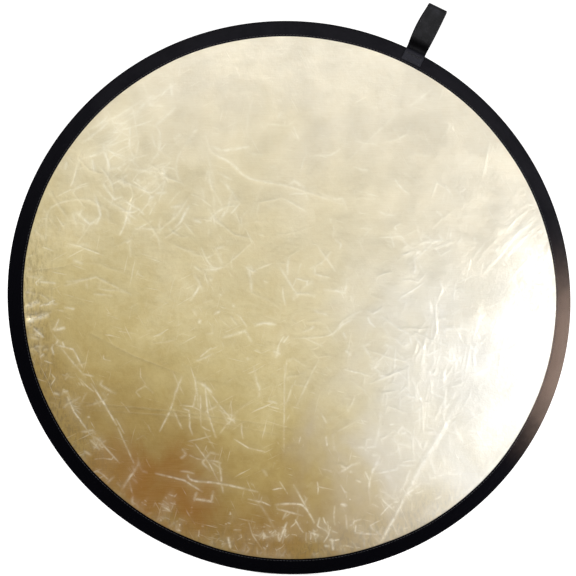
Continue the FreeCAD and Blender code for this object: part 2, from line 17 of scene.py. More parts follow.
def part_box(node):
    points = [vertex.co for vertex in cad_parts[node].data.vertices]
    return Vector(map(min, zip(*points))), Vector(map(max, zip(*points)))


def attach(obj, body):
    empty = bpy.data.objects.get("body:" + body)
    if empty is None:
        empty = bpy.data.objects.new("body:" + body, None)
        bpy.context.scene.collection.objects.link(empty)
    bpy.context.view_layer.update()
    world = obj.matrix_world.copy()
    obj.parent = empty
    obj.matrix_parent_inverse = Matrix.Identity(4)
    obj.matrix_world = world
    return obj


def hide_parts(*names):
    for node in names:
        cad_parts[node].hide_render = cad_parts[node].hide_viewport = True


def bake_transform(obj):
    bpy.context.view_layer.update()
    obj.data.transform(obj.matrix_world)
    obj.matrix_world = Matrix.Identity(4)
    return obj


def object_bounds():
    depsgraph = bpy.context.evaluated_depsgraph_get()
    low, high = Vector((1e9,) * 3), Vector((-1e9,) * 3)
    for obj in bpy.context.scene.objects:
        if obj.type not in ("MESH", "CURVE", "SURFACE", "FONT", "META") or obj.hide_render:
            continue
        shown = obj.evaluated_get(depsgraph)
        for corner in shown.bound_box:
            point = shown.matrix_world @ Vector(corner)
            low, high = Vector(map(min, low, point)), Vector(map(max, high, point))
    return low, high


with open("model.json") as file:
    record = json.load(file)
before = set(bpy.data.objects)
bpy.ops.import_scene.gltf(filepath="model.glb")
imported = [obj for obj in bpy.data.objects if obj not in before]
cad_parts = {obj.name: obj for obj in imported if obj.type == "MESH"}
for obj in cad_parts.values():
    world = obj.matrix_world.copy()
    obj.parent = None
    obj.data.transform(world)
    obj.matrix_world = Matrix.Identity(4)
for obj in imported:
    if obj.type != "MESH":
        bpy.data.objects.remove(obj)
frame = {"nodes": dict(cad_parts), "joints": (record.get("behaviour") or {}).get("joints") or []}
cad_low, cad_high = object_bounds()

MM = 0.001
TURN = 2 * math.pi
FRONT, REAR = -1, 1

# ---- places read from the frame ----------------------------------------------------------------

RIM_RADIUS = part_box("front_band")[1].x
BAND_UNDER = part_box("rear_band")[0].y
BAND_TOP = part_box("rear_band")[1].y
FACE_LEVEL = (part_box("silver_face")[0].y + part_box("silver_face")[1].y) / 2
STITCH_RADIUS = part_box("front_band_stitching")[1].x
EDGE_TAPE_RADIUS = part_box("closed_edge_tape")[1].x
LOOP_JOINT = next(j for j in frame["joints"] if j["name"] == "loop_swing")
LOOP_ROOT = Vector(LOOP_JOINT["pos_m"])
LOOP_ACROSS = Vector(LOOP_JOINT["axis"])
LOOP_UP = Vector((0, 1, 0)).cross(LOOP_ACROSS) * -1
STRAP_WIDTH = 20 * MM
LOOP_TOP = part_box("hang_loop")[1].z - abs(LOOP_ACROSS.z) * STRAP_WIDTH / 2
LOOP_LENGTH = (LOOP_TOP - LOOP_ROOT.z) / LOOP_UP.z

# The part of the binding with the most painted glare, a warm paler tone standing in for the strong light from
# the right, and how far it reaches, in disc radii.
GLARE_PLACE = (0.98, -0.17)
GLARE_REACH = 0.40
GLARE_SHARPNESS = 2.1

# Directions in which the film's fine scratches run, in degrees.
SCRATCH_DIRECTIONS = (28.0, 76.0, 118.0, 165.0)

RIB_PITCH = 1.25 * MM

# ---- mesh helpers ------------------------------------------------------------------------------


def new_object(name, verts, faces, smooth=True):
    mesh = bpy.data.meshes.new(name)
    mesh.from_pydata([tuple(v) for v in verts], [], [tuple(f) for f in faces])
    mesh.validate()
    work = bmesh.new()
    work.from_mesh(mesh)
    bmesh.ops.recalc_face_normals(work, faces=work.faces)
    work.to_mesh(mesh)
    work.free()
    mesh.polygons.foreach_set("use_smooth", [smooth] * len(mesh.polygons))
    obj = bpy.data.objects.new(name, mesh)
    bpy.context.scene.collection.objects.link(obj)
    return obj


def store_vectors(obj, name, values):
    attribute = obj.data.attributes.new(name, "FLOAT_VECTOR", "POINT")
    attribute.data.foreach_set("vector", np.asarray(values, np.float32).ravel())


def store_floats(obj, name, values):
    attribute = obj.data.attributes.new(name, "FLOAT", "POINT")
    attribute.data.foreach_set("value", np.asarray(values, np.float32).ravel())


def mesh_points(obj):
    points = np.zeros(len(obj.data.vertices) * 3)
    obj.data.vertices.foreach_get("co", points)
    return points.reshape(-1, 3)


def around(radius, height, angle):
    """Points at a radius and a height in Y, at an angle around the disc."""
    return np.stack([radius * np.cos(angle), height + 0 * angle, radius * np.sin(angle)], -1)


def grid_faces(rows, columns, wrap_rows=False, wrap_columns=False, offset=0):
    """Quads between the points of a grid that is stored row by row."""
    faces = []
    for i in range(rows if wrap_rows else rows - 1):
        for k in range(columns if wrap_columns else columns - 1):
            a = i * columns + k
            b = i * columns + (k + 1) % columns
            c = ((i + 1) % rows) * columns + (k + 1) % columns
            d = ((i + 1) % rows) * columns + k
            faces.append((a + offset, b + offset, c + offset, d + offset))
    return faces


def ring(name, section, first=0.0, last=360.0, step_mm=2.6):
    """Sweeps a closed section around the disc. section(angle) gives its (radius, height) points."""
    full = last - first >= 360
    count = max(3, round(math.radians(last - first) * RIM_RADIUS / (step_mm * MM)))
    stations = np.radians(np.linspace(first, last, count, endpoint=not full))
    verts = []
    for angle in stations:
        for radius, height in section(angle):
            verts.append((radius * math.cos(angle), height, radius * math.sin(angle)))
    corners = len(verts) // count
    faces = grid_faces(count, corners, wrap_rows=full, wrap_columns=True)
    if not full:
        faces.append(tuple(range(corners)))
        faces.append(tuple(range(len(verts) - corners, len(verts))))
    return new_object(name, verts, faces)


def tubes(name, paths, normals, binormals, radius, sides):
    """One tube for each path of points; normals and binormals span each point's cross-section."""
    verts, faces = [], []
    turns = np.arange(sides) * TURN / sides
    for path, normal, binormal in zip(paths, normals, binormals):
        offset = len(verts)
        for place, n, b in zip(path, normal, binormal):
            for turn in turns:
                verts.append(place + radius * (math.cos(turn) * n + math.sin(turn) * b))
        faces += grid_faces(len(path), sides, wrap_columns=True, offset=offset)
        faces.append(tuple(range(offset, offset + sides)))
        faces.append(tuple(range(len(verts) - sides, len(verts))))
    return new_object(name, verts, faces)


def spline(points, per_span):
    """A smooth curve through points (Catmull-Rom), as an array."""
    points = np.asarray(points, float)
    padded = np.vstack([2 * points[0] - points[1], points, 2 * points[-1] - points[-2]])
    curve = []
    for i in range(1, len(padded) - 2):
        a, b, c, d = padded[i - 1 : i + 3]
        for t in np.arange(per_span) / per_span:
            square, cube = 2 * a - 5 * b + 4 * c - d, 3 * b - a - 3 * c + d
            curve.append(0.5 * (2 * b + (c - a) * t + square * t**2 + cube * t**3))
    curve.append(points[-1])
    return np.array(curve)


def use(obj, material, slot_name, *stands_for):
    """Gives a piece its material and hides the CAD nodes that it stands for; the slot name is not used."""
    obj.data.materials.clear()
    obj.data.materials.append(material)
    if stands_for:
        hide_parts(*stands_for)
    if "rest_place" not in obj.data.attributes:
        store_vectors(obj, "rest_place", mesh_points(obj))
    return obj


def flex(obj):
    """Bakes the piece's transform into its mesh."""
    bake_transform(obj)
    return obj


# ---- material helpers --------------------------------------------------------------------------


class Value:
    """An output of a node, for plain arithmetic with other outputs and numbers."""

    def __init__(self, nodes, socket):
        self.nodes = nodes
        self.socket = socket

    def __add__(self, other):
        return self.nodes.math("ADD", self, other)

    def __sub__(self, other):
        return self.nodes.math("SUBTRACT", self, other)

    def __rsub__(self, other):
        return self.nodes.math("SUBTRACT", other, self)

    def __mul__(self, other):
        return self.nodes.math("MULTIPLY", self, other)

    def __truediv__(self, other):
        return self.nodes.math("DIVIDE", self, other)


class Nodes:
    """A node tree, with short calls for the nodes that the finishes and the world are made of."""

    def __init__(self, tree):
        self.tree = tree

    def node(self, kind, output=0, inputs=None, **settings):
        made = self.tree.nodes.new(kind)
        for key, setting in settings.items():
            setattr(made, key, setting)
        for key, source in (inputs or {}).items():
            self.feed(made.inputs[key], source)
        return Value(self, made.outputs[output])

    def feed(self, socket, source):
        if isinstance(source, Value):
            self.tree.links.new(source.socket, socket)
        elif isinstance(source, tuple) and socket.type == "RGBA":
            socket.default_value = (*source, 1)
        else:
            socket.default_value = source

    def math(self, operation, a, b=0.0, clamp=False):
        return self.node("ShaderNodeMath", 0, {0: a, 1: b}, operation=operation, use_clamp=clamp)

    def larger(self, a, b):
        return self.math("MAXIMUM", a, b)

    def length(self, a, b):
        return self.math("SQRT", a * a + b * b)

    def vector(self, a, b, c=0.0):
        return self.node("ShaderNodeCombineXYZ", 0, {0: a, 1: b, 2: c})

    def parts(self, vector):
        """The X, Y and Z of a vector."""
        split = self.node("ShaderNodeSeparateXYZ", 0, {0: vector}).socket.node
        return [Value(self, socket) for socket in split.outputs]

    def between(self, source, low, high, to_low=0.0, to_high=1.0, shape="SMOOTHSTEP"):
        """Runs from one number to another while the source runs from low to high."""
        inputs = {"Value": source, 1: low, 2: high, 3: to_low, 4: to_high}
        return self.node("ShaderNodeMapRange", 0, inputs, interpolation_type=shape)


class Shader(Nodes):
    """A material: its place on the piece, its patterns and its surface."""

    def __init__(self, name, place="rest_place"):
        self.material = bpy.data.materials.new(name)
        self.material.use_nodes = True
        super().__init__(self.material.node_tree)
        self.principled = self.tree.nodes["Principled BSDF"]
        if place == "object":
            self.place = self.node("ShaderNodeTexCoord", "Object")
        else:
            self.place = self.attribute(place, "Vector")
        self.x, self.y, self.z = self.parts(self.place)

    def attribute(self, name, output="Fac"):
        return self.node("ShaderNodeAttribute", output, attribute_name=name)

    def noise(self, scale, detail=3.0, roughness=0.55, vector=None, distortion=0.0):
        inputs = {
            "Vector": vector or self.place,
            "Scale": scale,
            "Detail": detail,
            "Roughness": roughness,
            "Distortion": distortion,
        }
        return self.node("ShaderNodeTexNoise", "Fac", inputs)

    def mix(self, factor, a, b, blend_type="MIX"):
        inputs = {0: factor, 6: a, 7: b}
        return self.node("ShaderNodeMix", 2, inputs, data_type="RGBA", blend_type=blend_type)

    def ramp(self, source, stops):
        """A colour for each place along a value; stops are (value, colour) from low to high."""
        low, high = stops[0][0], stops[-1][0]
        share = self.between(source, low, high, shape="LINEAR")
        colour = self.node("ShaderNodeValToRGB", 0, {0: share})
        band = colour.socket.node.color_ramp
        band.interpolation = "B_SPLINE"
        while len(band.elements) < len(stops):
            band.elements.new(0.5)
        for element, (value, tone) in zip(band.elements, stops):
            element.position = (value - low) / (high - low)
            element.color = (*tone, 1)
        return colour

    def wave(self, along, pitch):
        """A sine of a length, from 0 to 1."""
        return self.math("SINE", along * (TURN / pitch)) * 0.5 + 0.5

    def scratches(self, degrees, seed):
        """Short fine strokes that run in one direction, 1 on the stroke."""
        cosine, sine = math.cos(math.radians(degrees)), math.sin(math.radians(degrees))
        along = self.x * cosine + self.z * sine
        across = self.z * cosine - self.x * sine
        place = self.vector(along * 32.0, across * 380.0, seed)
        return self.between(self.noise(1.0, 2.0, 0.45, place, 0.5), 0.63, 0.74)

    def spot(self, centre, radius, ragged):
        """A soft round patch with an uneven outline, 1 inside."""
        gap = self.length(self.x - centre[0] * RIM_RADIUS, self.z - centre[1] * RIM_RADIUS)
        uneven = gap / (radius * RIM_RADIUS) + (ragged - 0.5) * 2.2
        return self.between(uneven, 1.35, 0.25)

    def around_disc(self):
        """(length around the rim, distance from the centre) of a point."""
        return self.math("ARCTAN2", self.z, self.x) * RIM_RADIUS, self.length(self.x, self.z)

    def bump(self, height, strength, distance, below=None):
        inputs = {"Height": height, "Strength": strength, "Distance": distance}
        if below is not None:
            inputs["Normal"] = below
        return self.node("ShaderNodeBump", 0, inputs)

    def set(self, **inputs):
        for key, source in inputs.items():
            self.feed(self.principled.inputs[key.replace("_", " ")], source)
        return self.material


def plain_weave(shader, along, across, pitch):
    """Threads over and under each other, from 0 to 1."""
    one = shader.wave(along, pitch)
    other = shader.wave(across, pitch)
    return one * other + (1.0 - one) * (1.0 - other)


def twill(shader, along, across, pitch):
    """Diagonal ribs broken by the cross threads, from 0 to 1."""
    return shader.wave(along + across, pitch) * 0.75 + shader.wave(across, pitch / 2) * 0.25


def film_colour(shader, tones, spots):
    """The film's colour before its painted crease highlights, with painted light and shade across it, and the
    mask of its painted highlight.
    """
    # Painted light and shade: the colour runs from dark gold-brown at the lower left to pale cream at the
    # upper right.
    lean = (shader.z + shader.x * 0.45) / RIM_RADIUS
    cloud = shader.noise(8.0, 4.0, 0.55, distortion=0.8)
    colour = shader.ramp(lean + (cloud - 0.5) * 0.75, tones["ramp"])
    mottle = shader.noise(130.0, 4.0, 0.6)
    grain = shader.between(mottle, 0.35, 0.70) * shader.between(lean, -0.6, 0.7, 1.0, 0.3)
    colour = shader.mix(grain, colour, tones["mottle"], "MULTIPLY")
    # Painted shade: dark brown strokes near the lower rim stand in for the shadows of the fine crumpling
    # there.
    low_edge = shader.between(shader.around_disc()[1], 0.78 * RIM_RADIUS, 0.94 * RIM_RADIUS)
    low_edge = low_edge * shader.between(lean, 0.1, -0.7)
    crumple_shadow = shader.noise(1.0, 4.0, 0.7, shader.vector(shader.x * 330.0, shader.z * 110.0))
    colour = shader.mix(low_edge * shader.between(crumple_shadow, 0.44, 0.62) * 0.8, colour, tones["crumple_shadow"])
    ragged = shader.noise(15.0, 5.0, 0.6, distortion=1.0)
    # Painted shade: darker patches; on the gold they deepen the shaded lower left.
    for centre, radius, strength in spots:
        colour = shader.mix(shader.spot(centre, radius, ragged) * strength, colour, tones["dark_patch"])
    # Painted highlight: a paler, less yellow patch stands in for the glare of the light, on the gold at the
    # right.
    highlight_centre, highlight_radius, highlight_strength = tones["painted_highlight_at"]
    even = shader.between(cloud, 0.0, 1.0, 0.35, 0.65)
    painted_highlight = shader.spot(highlight_centre, highlight_radius, even) * highlight_strength
    return shader.mix(painted_highlight, colour, tones["painted_highlight"]), painted_highlight


def foil_material(name, tones, spots, seed):
    """Metallised cloth: a reflective film over a fine weave, clouded, with painted light and shade across it
    and painted highlights along its creases and scratches.
    """
    shader = Shader(name)
    colour, painted_highlight = film_colour(shader, tones, spots)
    glint_tone = shader.mix(painted_highlight, tones["painted_glint"], (0.99, 0.985, 0.95))
    lighter = shader.mix(1.0, colour, (1.25, 1.25, 1.3), "MULTIPLY")
    pale = shader.mix(0.75, lighter, glint_tone)
    # Painted light: a paler haze around crease clusters, where they catch the light.
    haze = shader.attribute("haze")
    colour = shader.mix(shader.math("MULTIPLY", haze, 0.22, clamp=True), colour, pale)
    fine = 0.0
    for degrees in SCRATCH_DIRECTIONS:
        shown = shader.between(shader.noise(9.0, 3.0, 0.6, distortion=degrees / 40), 0.46, 0.66)
        fine = shader.larger(shader.scratches(degrees, seed + degrees) * shown, fine)
    # Painted highlights: pale lines along the crease ridges, fainter along the fine scratches, and pale
    # specks in the haze, where they catch the light.
    glint_breakup = shader.between(shader.noise(170.0, 3.0, 0.6), 0.36, 0.60, 0.35, 1.0)
    specks = shader.between(shader.noise(420.0, 2.0, 0.5), 0.66, 0.76, 0.0, 0.5)
    painted_glint = shader.larger(shader.attribute("crease") * glint_breakup, fine * 0.42)
    painted_glint = shader.larger(painted_glint, specks * haze)
    painted_glint = shader.math("MULTIPLY", painted_glint, tones["glint_strength"], clamp=True)
    colour = shader.mix(painted_glint, colour, pale)
    streaks = shader.noise(1.0, 4.0, 0.65, shader.vector(shader.x * 60.0, shader.z * 900.0))
    colour = shader.mix(shader.between(streaks, 0.35, 0.75, 0.0, 0.09), colour, tones["streak"])
    relief = shader.bump(fine, 0.22, 0.25 * MM)
    relief = shader.bump(shader.noise(60.0, 5.0, 0.62), 0.32, 2.0 * MM, relief)
    relief = shader.bump(streaks, 0.10, 0.25 * MM, relief)
    relief = shader.bump(plain_weave(shader, shader.x, shader.z, 0.9 * MM), 0.08, 0.08 * MM, relief)
    gloss = shader.between(shader.noise(26.0, 4.0, 0.6), 0.3, 0.75, 0.30, 0.42)
    return shader.set(Base_Color=colour, Metallic=1.0, Roughness=gloss, Normal=relief)


def binding_material():
    """Close twill tape, near black, with painted light making it paler towards the top and a painted warm
    glare on its right-hand side.
    """
    shader = Shader("binding_twill")
    dark, top_lit_tone, glare_tone = (0.0009, 0.0009, 0.0026), (0.0090, 0.0082, 0.0130), (0.26, 0.185, 0.15)
    along, across = shader.around_disc()
    ribs = twill(shader, along, across, 0.85 * MM)
    blotch = shader.noise(38.0, 4.0, 0.65)
    # Painted light: paler and bluer towards the top and the right, where the light falls, with more sheen and
    # specular there.
    painted_top_light = shader.between(shader.z + shader.x * 0.5, -0.8 * RIM_RADIUS, RIM_RADIUS)
    painted_top_light = painted_top_light * shader.between(blotch, 0.2, 0.8, 0.55, 1.0)
    colour = shader.mix(painted_top_light, dark, top_lit_tone)
    even = shader.between(blotch, 0.0, 1.0, 0.44, 0.56)
    # Painted glare: a warm paler patch on the right-hand side stands in for the strong light there.
    painted_glare = shader.math("POWER", shader.spot(GLARE_PLACE, GLARE_REACH, even), GLARE_SHARPNESS)
    colour = shader.mix(painted_glare, colour, glare_tone)
    groove = shader.mix(1.0, colour, (0.4, 0.4, 0.4), "MULTIPLY")
    colour = shader.mix(ribs * 0.45, groove, colour)
    relief = shader.bump(ribs, 0.30, 0.12 * MM)
    relief = shader.bump(shader.noise(300.0, 3.0), 0.10, 0.15 * MM, relief)
    return shader.set(
        Base_Color=colour,
        Roughness=shader.between(blotch, 0.3, 0.8, 0.50, 0.66),
        Normal=relief,
        Specular_IOR_Level=shader.between(painted_top_light, 0.0, 1.0, 0.02, 0.10),
        Sheen_Weight=shader.between(painted_top_light, 0.0, 1.0, 0.004, 0.03),
        Sheen_Roughness=0.35,
        Sheen_Tint=(0.8, 0.8, 1.0),
    )


def webbing_material():
    """Ribbed strap: long ribs crossed by picks, with a satin face, paler worn ribs, a painted highlight on
    the sewn end and painted shade in the fold above the root.
    """
    shader = Shader("strap_webbing")
    across, along, _ = shader.parts(shader.attribute("strap_place", "Vector"))
    picks = shader.wave(along, 0.9 * MM)
    ribs = shader.wave(across, RIB_PITCH)
    rub = shader.noise(90.0, 4.0, 0.6)
    colour = shader.mix((picks + ribs) * 0.5, (0.0022, 0.0022, 0.0028), (0.0085, 0.0085, 0.0100))
    colour = shader.mix(shader.between(rub, 0.40, 0.8), colour, (0.020, 0.020, 0.024))
    # Painted highlight: the sewn end that lies over the band is painted lighter and bluish, as it faces the
    # light.
    sewn = shader.between(along, 15 * MM, 11 * MM, 0.0, 0.5)
    colour = shader.mix(sewn, colour, (0.018, 0.018, 0.028))
    # Painted shade: near black, with less specular and sheen, in the fold just above the root.
    shade = shader.attribute("painted_fold_shade")
    colour = shader.mix(shade, colour, (0.0008, 0.0007, 0.0010))
    return shader.set(
        Base_Color=colour,
        Roughness=shader.between(rub, 0.3, 0.8, 0.38, 0.55),
        Normal=shader.bump(picks, 0.35, 0.15 * MM),
        Specular_IOR_Level=shader.between(shade, 0.0, 1.0, 0.16, 0.02),
        Sheen_Weight=shader.between(shade, 0.0, 1.0, 0.035, 0.0),
        Sheen_Roughness=0.35,
        Sheen_Tint=(0.8, 0.83, 1.0),
    )


def woven(shader, weave, fuzz, tones, gloss, strength, depth, **more):
    """A surface of threads, paler on top of them and where fuzz gathers."""
    return shader.set(
        Base_Color=shader.mix((weave + fuzz) * 0.5, *tones),
        Roughness=shader.between(fuzz, 0.3, 0.8, *gloss),
        Normal=shader.bump(weave, strength, depth),
        **more,
    )


def cloth_material(name, low, high, pitch, see_through=0.0):
    """Plain-woven lining cloth with slubs and slight soiling."""
    shader = Shader(name)
    weave = plain_weave(shader, shader.x, shader.z, pitch)
    slubs, gloss = shader.noise(60.0, 4.0, 0.7), (0.7, 0.92)
    return woven(shader, weave, slubs, (low, high), gloss, 0.3, 0.15 * MM, Transmission_Weight=see_through)


def tape_material(name, low, high):
    """Narrow woven tape that runs around the rim."""
    shader = Shader(name, "object")
    along, across = shader.around_disc()
    weave = plain_weave(shader, along, across + shader.y, 0.7 * MM)
    fuzz = shader.noise(140.0, 3.0, 0.6)
    return woven(shader, weave, fuzz, (low, high), (0.65, 0.85), 0.4, 0.12 * MM)


def thread_material(name, low, high):
    """Twisted sewing thread."""
    shader = Shader(name)
    twist = shader.wave(shader.x + shader.y + shader.z, 0.45 * MM)
    lint = shader.noise(500.0, 3.0)
    return woven(shader, twist, lint, (low, high), (0.45, 0.6), 0.5, 0.08 * MM)


def nylon_material():
    """Drawn filament of the zip's coils: satin, a little cloudy."""
    shader = Shader("coil_nylon")
    cloud = shader.noise(420.0, 3.0)
    return shader.set(
        Base_Color=shader.mix(cloud, (0.008, 0.008, 0.010), (0.035, 0.035, 0.040)),
        Roughness=shader.between(cloud, 0.3, 0.7, 0.28, 0.42),
        Normal=shader.bump(shader.noise(1500.0, 2.0), 0.12, 0.05 * MM),
    )


def worn_enamel_material():
    """Black enamel, chipped to bare zinc along its edges."""
    shader = Shader("worn_enamel", "object")
    edge = shader.node("ShaderNodeNewGeometry", "Pointiness")
    chips = shader.noise(900.0, 5.0, 0.7)
    chipped = shader.between(edge + chips * 0.12, 0.625, 0.69)
    enamelled = shader.mix(shader.noise(300.0, 3.0), (0.012, 0.012, 0.014), (0.03, 0.03, 0.033))
    return shader.set(
        Base_Color=shader.mix(chipped, enamelled, (0.42, 0.41, 0.40)),
        Metallic=chipped,
        Roughness=shader.between(chips, 0.3, 0.8, 0.24, 0.46),
        Normal=shader.bump(chips, 0.15, 0.05 * MM),
    )


def steel_material(name, dark, bright, place, grain):
    """Rolled metal with fine lines along the hoop and a light oil film."""
    shader = Shader(name, place)
    along, across = shader.around_disc()
    drawn = shader.vector(along * 6.0, shader.y * grain, across * grain)
    lines = shader.noise(1.0, 4.0, 0.6, drawn)
    oil = shader.noise(30.0, 4.0, 0.6)
    return shader.set(
        Base_Color=shader.mix(lines, dark, bright),
        Metallic=1.0,
        Roughness=shader.between(oil, 0.3, 0.7, 0.22, 0.38),
        Normal=shader.bump(lines, 0.15, 0.05 * MM),
    )


def wrap_material():
    """Cloth-backed adhesive tape."""
    shader = Shader("wrap_tape", "object")
    weave = plain_weave(shader, shader.around_disc()[0], shader.y, 0.8 * MM)
    scuff = shader.noise(180.0, 4.0, 0.7)
    return shader.set(
        Base_Color=shader.mix(scuff, (0.05, 0.05, 0.05), (0.14, 0.14, 0.135)),
        Roughness=shader.between(scuff, 0.3, 0.7, 0.5, 0.7),
        Normal=shader.bump(weave, 0.3, 0.1 * MM),
    )


# Film colours from the disc's lower left to its upper right, at places in disc radii: painted shade at the
# lower left and painted light at the upper right.
GOLD_TONES = {
    "ramp": [
        (-1.00, (0.30, 0.205, 0.072)),
        (-0.78, (0.37, 0.26, 0.092)),
        (-0.55, (0.45, 0.335, 0.125)),
        (-0.30, (0.65, 0.545, 0.27)),
        (0.05, (0.77, 0.675, 0.425)),
        (0.40, (0.85, 0.765, 0.545)),
        (0.70, (0.895, 0.82, 0.645)),
        (1.00, (0.91, 0.85, 0.70)),
    ],
    "mottle": (0.93, 0.90, 0.84),
    "crumple_shadow": (0.23, 0.165, 0.07),
    "dark_patch": (0.27, 0.122, 0.026),
    "painted_highlight": (0.88, 0.873, 0.835),
    "painted_highlight_at": ((0.90, -0.30), 0.74, 0.9),
    "painted_glint": (0.99, 0.955, 0.80),
    "glint_strength": 0.9,
    "streak": (0.55, 0.42, 0.21),
}
# The silver film's colours, painted darker to the lower left and paler to the upper right in the same way.
SILVER_TONES = {
    "ramp": [
        (-1.00, (0.47, 0.48, 0.51)),
        (-0.40, (0.56, 0.57, 0.60)),
        (0.20, (0.65, 0.655, 0.68)),
        (1.00, (0.74, 0.745, 0.76)),
    ],
    "mottle": (0.88, 0.88, 0.90),
    "crumple_shadow": (0.30, 0.30, 0.32),
    "dark_patch": (0.36, 0.36, 0.38),
    "painted_highlight": (0.84, 0.84, 0.85),
    "painted_highlight_at": ((-0.9, 0.4), 0.5, 0.4),
    "painted_glint": (0.97, 0.97, 0.98),
    "glint_strength": 0.75,
    "streak": (0.42, 0.43, 0.46),
}
# Darker patches: centre and radius in disc radii, and strength. On the gold they are painted shade in its
# darker lower left.
GOLD_SHADE_PATCHES = [
    ((-0.61, -0.62), 0.13, 0.45),
    ((-0.43, -0.70), 0.17, 0.75),
    ((-0.34, -0.80), 0.12, 0.55),
    ((-0.08, -0.86), 0.16, 0.30),
]
SILVER_STAINS = [((0.35, -0.66), 0.20, 0.35), ((-0.52, 0.30), 0.16, 0.25)]

binding = binding_material()
webbing = webbing_material()
black_thread = thread_material("black_thread", (0.006, 0.006, 0.008), (0.03, 0.03, 0.034))
white_thread = thread_material("white_thread", (0.55, 0.55, 0.53), (0.85, 0.85, 0.82))
enamel = worn_enamel_material()
zip_cloth = tape_material("zip_cloth", (0.006, 0.006, 0.008), (0.022, 0.022, 0.026))

# ---- the two reflecting sheets -----------------------------------------------------------------

SHEET_RADIUS = 270 * MM
SHEET_STEP = 3.5 * MM
RIM_CORNERS = 640
SHEET_THICKNESS = 0.12 * MM
FLAT_STEP_ACROSS = 4 * MM
FLAT_STEP_UP = 20 * MM
CREASE_STEP = 2.0 * MM
CREASE_ROWS = (-1.6, -0.65, 0.0, 0.65, 1.6)
HAZE_REACH = 7 * MM
HELD_RADIUS = 263.5 * MM
SWELLS_PER_METRE = 7.5
SWELLS = ((1.0, 0.8), (2.7, 0.34), (7.5, 0.20))
SWELL_HEIGHT = 0.95 * MM
SWELL_BLEND = 60 * MM
CREASE_BLEND = 5 * MM


class Crease:
    """A fold line in the sheet: its height and its painted highlight line fade at both ends, or only inwards.
    """

    def __init__(self, points, height, half_width, pale, from_rim=False):
        self.path = np.asarray(points, float)
        self.height = height
        self.half_width = half_width
        self.pale = pale
        self.from_rim = from_rim

    def stations(self):
        """Evenly spaced points along the stroke, each with its sideways direction."""
        legs = np.linalg.norm(np.diff(self.path, axis=0), axis=1)
        travel = np.concatenate([[0], np.cumsum(legs)])
        count = max(3, int(travel[-1] / CREASE_STEP) + 1)
        places = np.linspace(0, travel[-1], count)
        points = np.stack([np.interp(places, travel, self.path[:, axis]) for axis in (0, 1)], -1)
        heading = np.gradient(points, axis=0)
        heading /= np.linalg.norm(heading, axis=1)[:, None] + 1e-12
        return points, np.stack([-heading[:, 1], heading[:, 0]], -1)

    def nearest(self, points):
        """The gap from each point to the stroke, and how far along the stroke it is, 0 to 1."""
        gap = np.full(len(points), 1e9)
        share = np.zeros(len(points))
        spans = len(self.path) - 1
        for i in range(spans):
            start, leg = self.path[i], self.path[i + 1] - self.path[i]
            t = np.clip(((points - start) @ leg) / (leg @ leg + 1e-18), 0, 1)
            away = np.linalg.norm(points - (start + t[:, None] * leg), axis=1)
            closer = away < gap
            gap[closer] = away[closer]
            share[closer] = (i + t[closer]) / spans
        return gap, share

    def add_to(self, points, height, ridge, haze):
        """Adds the crease's height, its painted highlight line along the ridge and its painted haze of light
        at the points that it reaches.
        """
        reach = 2.2 * HAZE_REACH
        low, high = self.path.min(0) - reach, self.path.max(0) + reach
        near = np.flatnonzero(((points > low) & (points < high)).all(1))
        if not len(near):
            return
        gap, share = self.nearest(points[near])
        fade = np.cos(share * np.pi / 2) if self.from_rim else np.sin(share * np.pi) ** 0.5
        height[near] += self.height * fade * np.exp(-((gap / self.half_width) ** 2))
        line = self.pale * fade * np.exp(-((gap / (0.8 * self.half_width)) ** 2))
        ridge[near] = np.maximum(ridge[near], line)
        haze[near] += 0.30 * self.pale * fade * np.exp(-((gap / HAZE_REACH) ** 2))


# Crumpled places: centre and spread in disc radii, number of folds, length of one leg in mm,
# fold height in mm, and how pale the folds' painted highlights are.
CRUMPLES = [
    ((-0.62, 0.53), (0.13, 0.13), 72, 12, 0.15, 0.82),
    ((-0.50, 0.36), (0.14, 0.08), 38, 11, 0.14, 0.78),
    ((-0.22, 0.30), (0.13, 0.16), 28, 13, 0.11, 0.60),
    ((-0.74, 0.16), (0.08, 0.12), 16, 10, 0.09, 0.45),
    ((0.02, -0.06), (0.20, 0.12), 40, 9, 0.13, 0.72),
    ((0.50, 0.20), (0.12, 0.20), 48, 11, 0.14, 0.78),
    ((0.45, -0.20), (0.10, 0.12), 48, 12, 0.15, 0.80),
    ((0.52, -0.42), (0.09, 0.15), 30, 12, 0.11, 0.55),
    ((0.36, -0.62), (0.13, 0.12), 56, 8, 0.12, 0.60),
    ((0.12, -0.80), (0.14, 0.07), 36, 4.5, 0.12, 0.60),
    ((-0.22, -0.87), (0.15, 0.04), 56, 3.5, 0.12, 0.60),
    ((-0.44, -0.78), (0.07, 0.05), 30, 4, 0.10, 0.45),
    ((-0.78, -0.36), (0.07, 0.13), 26, 7, 0.11, 0.40),
    ((-0.60, -0.62), (0.09, 0.07), 14, 7, 0.10, 0.32),
    ((-0.87, -0.10), (0.04, 0.10), 20, 7, 0.14, 0.60),
    ((0.0, 0.0), (0.48, 0.48), 140, 12, 0.10, 0.52),
]
# Fine strokes with painted highlights: centre in disc radii, spread, number, length in mm, direction and its
# spread in degrees.
STROKES = [
    ((-0.62, 0.58), 0.11, 30, 30, 28, 12),
    ((-0.70, -0.36), 0.10, 8, 24, -58, 14),
    ((-0.36, -0.42), 0.12, 10, 24, -74, 16),
    ((-0.30, -0.58), 0.14, 8, 24, -16, 14),
    ((0.53, -0.24), 0.09, 30, 34, 80, 9),
    ((0.74, 0.16), 0.09, 5, 44, 50, 8),
    ((0.10, -0.86), 0.12, 16, 12, 84, 24),
    ((0.0, 0.0), 0.50, 26, 18, 0, 90),
]
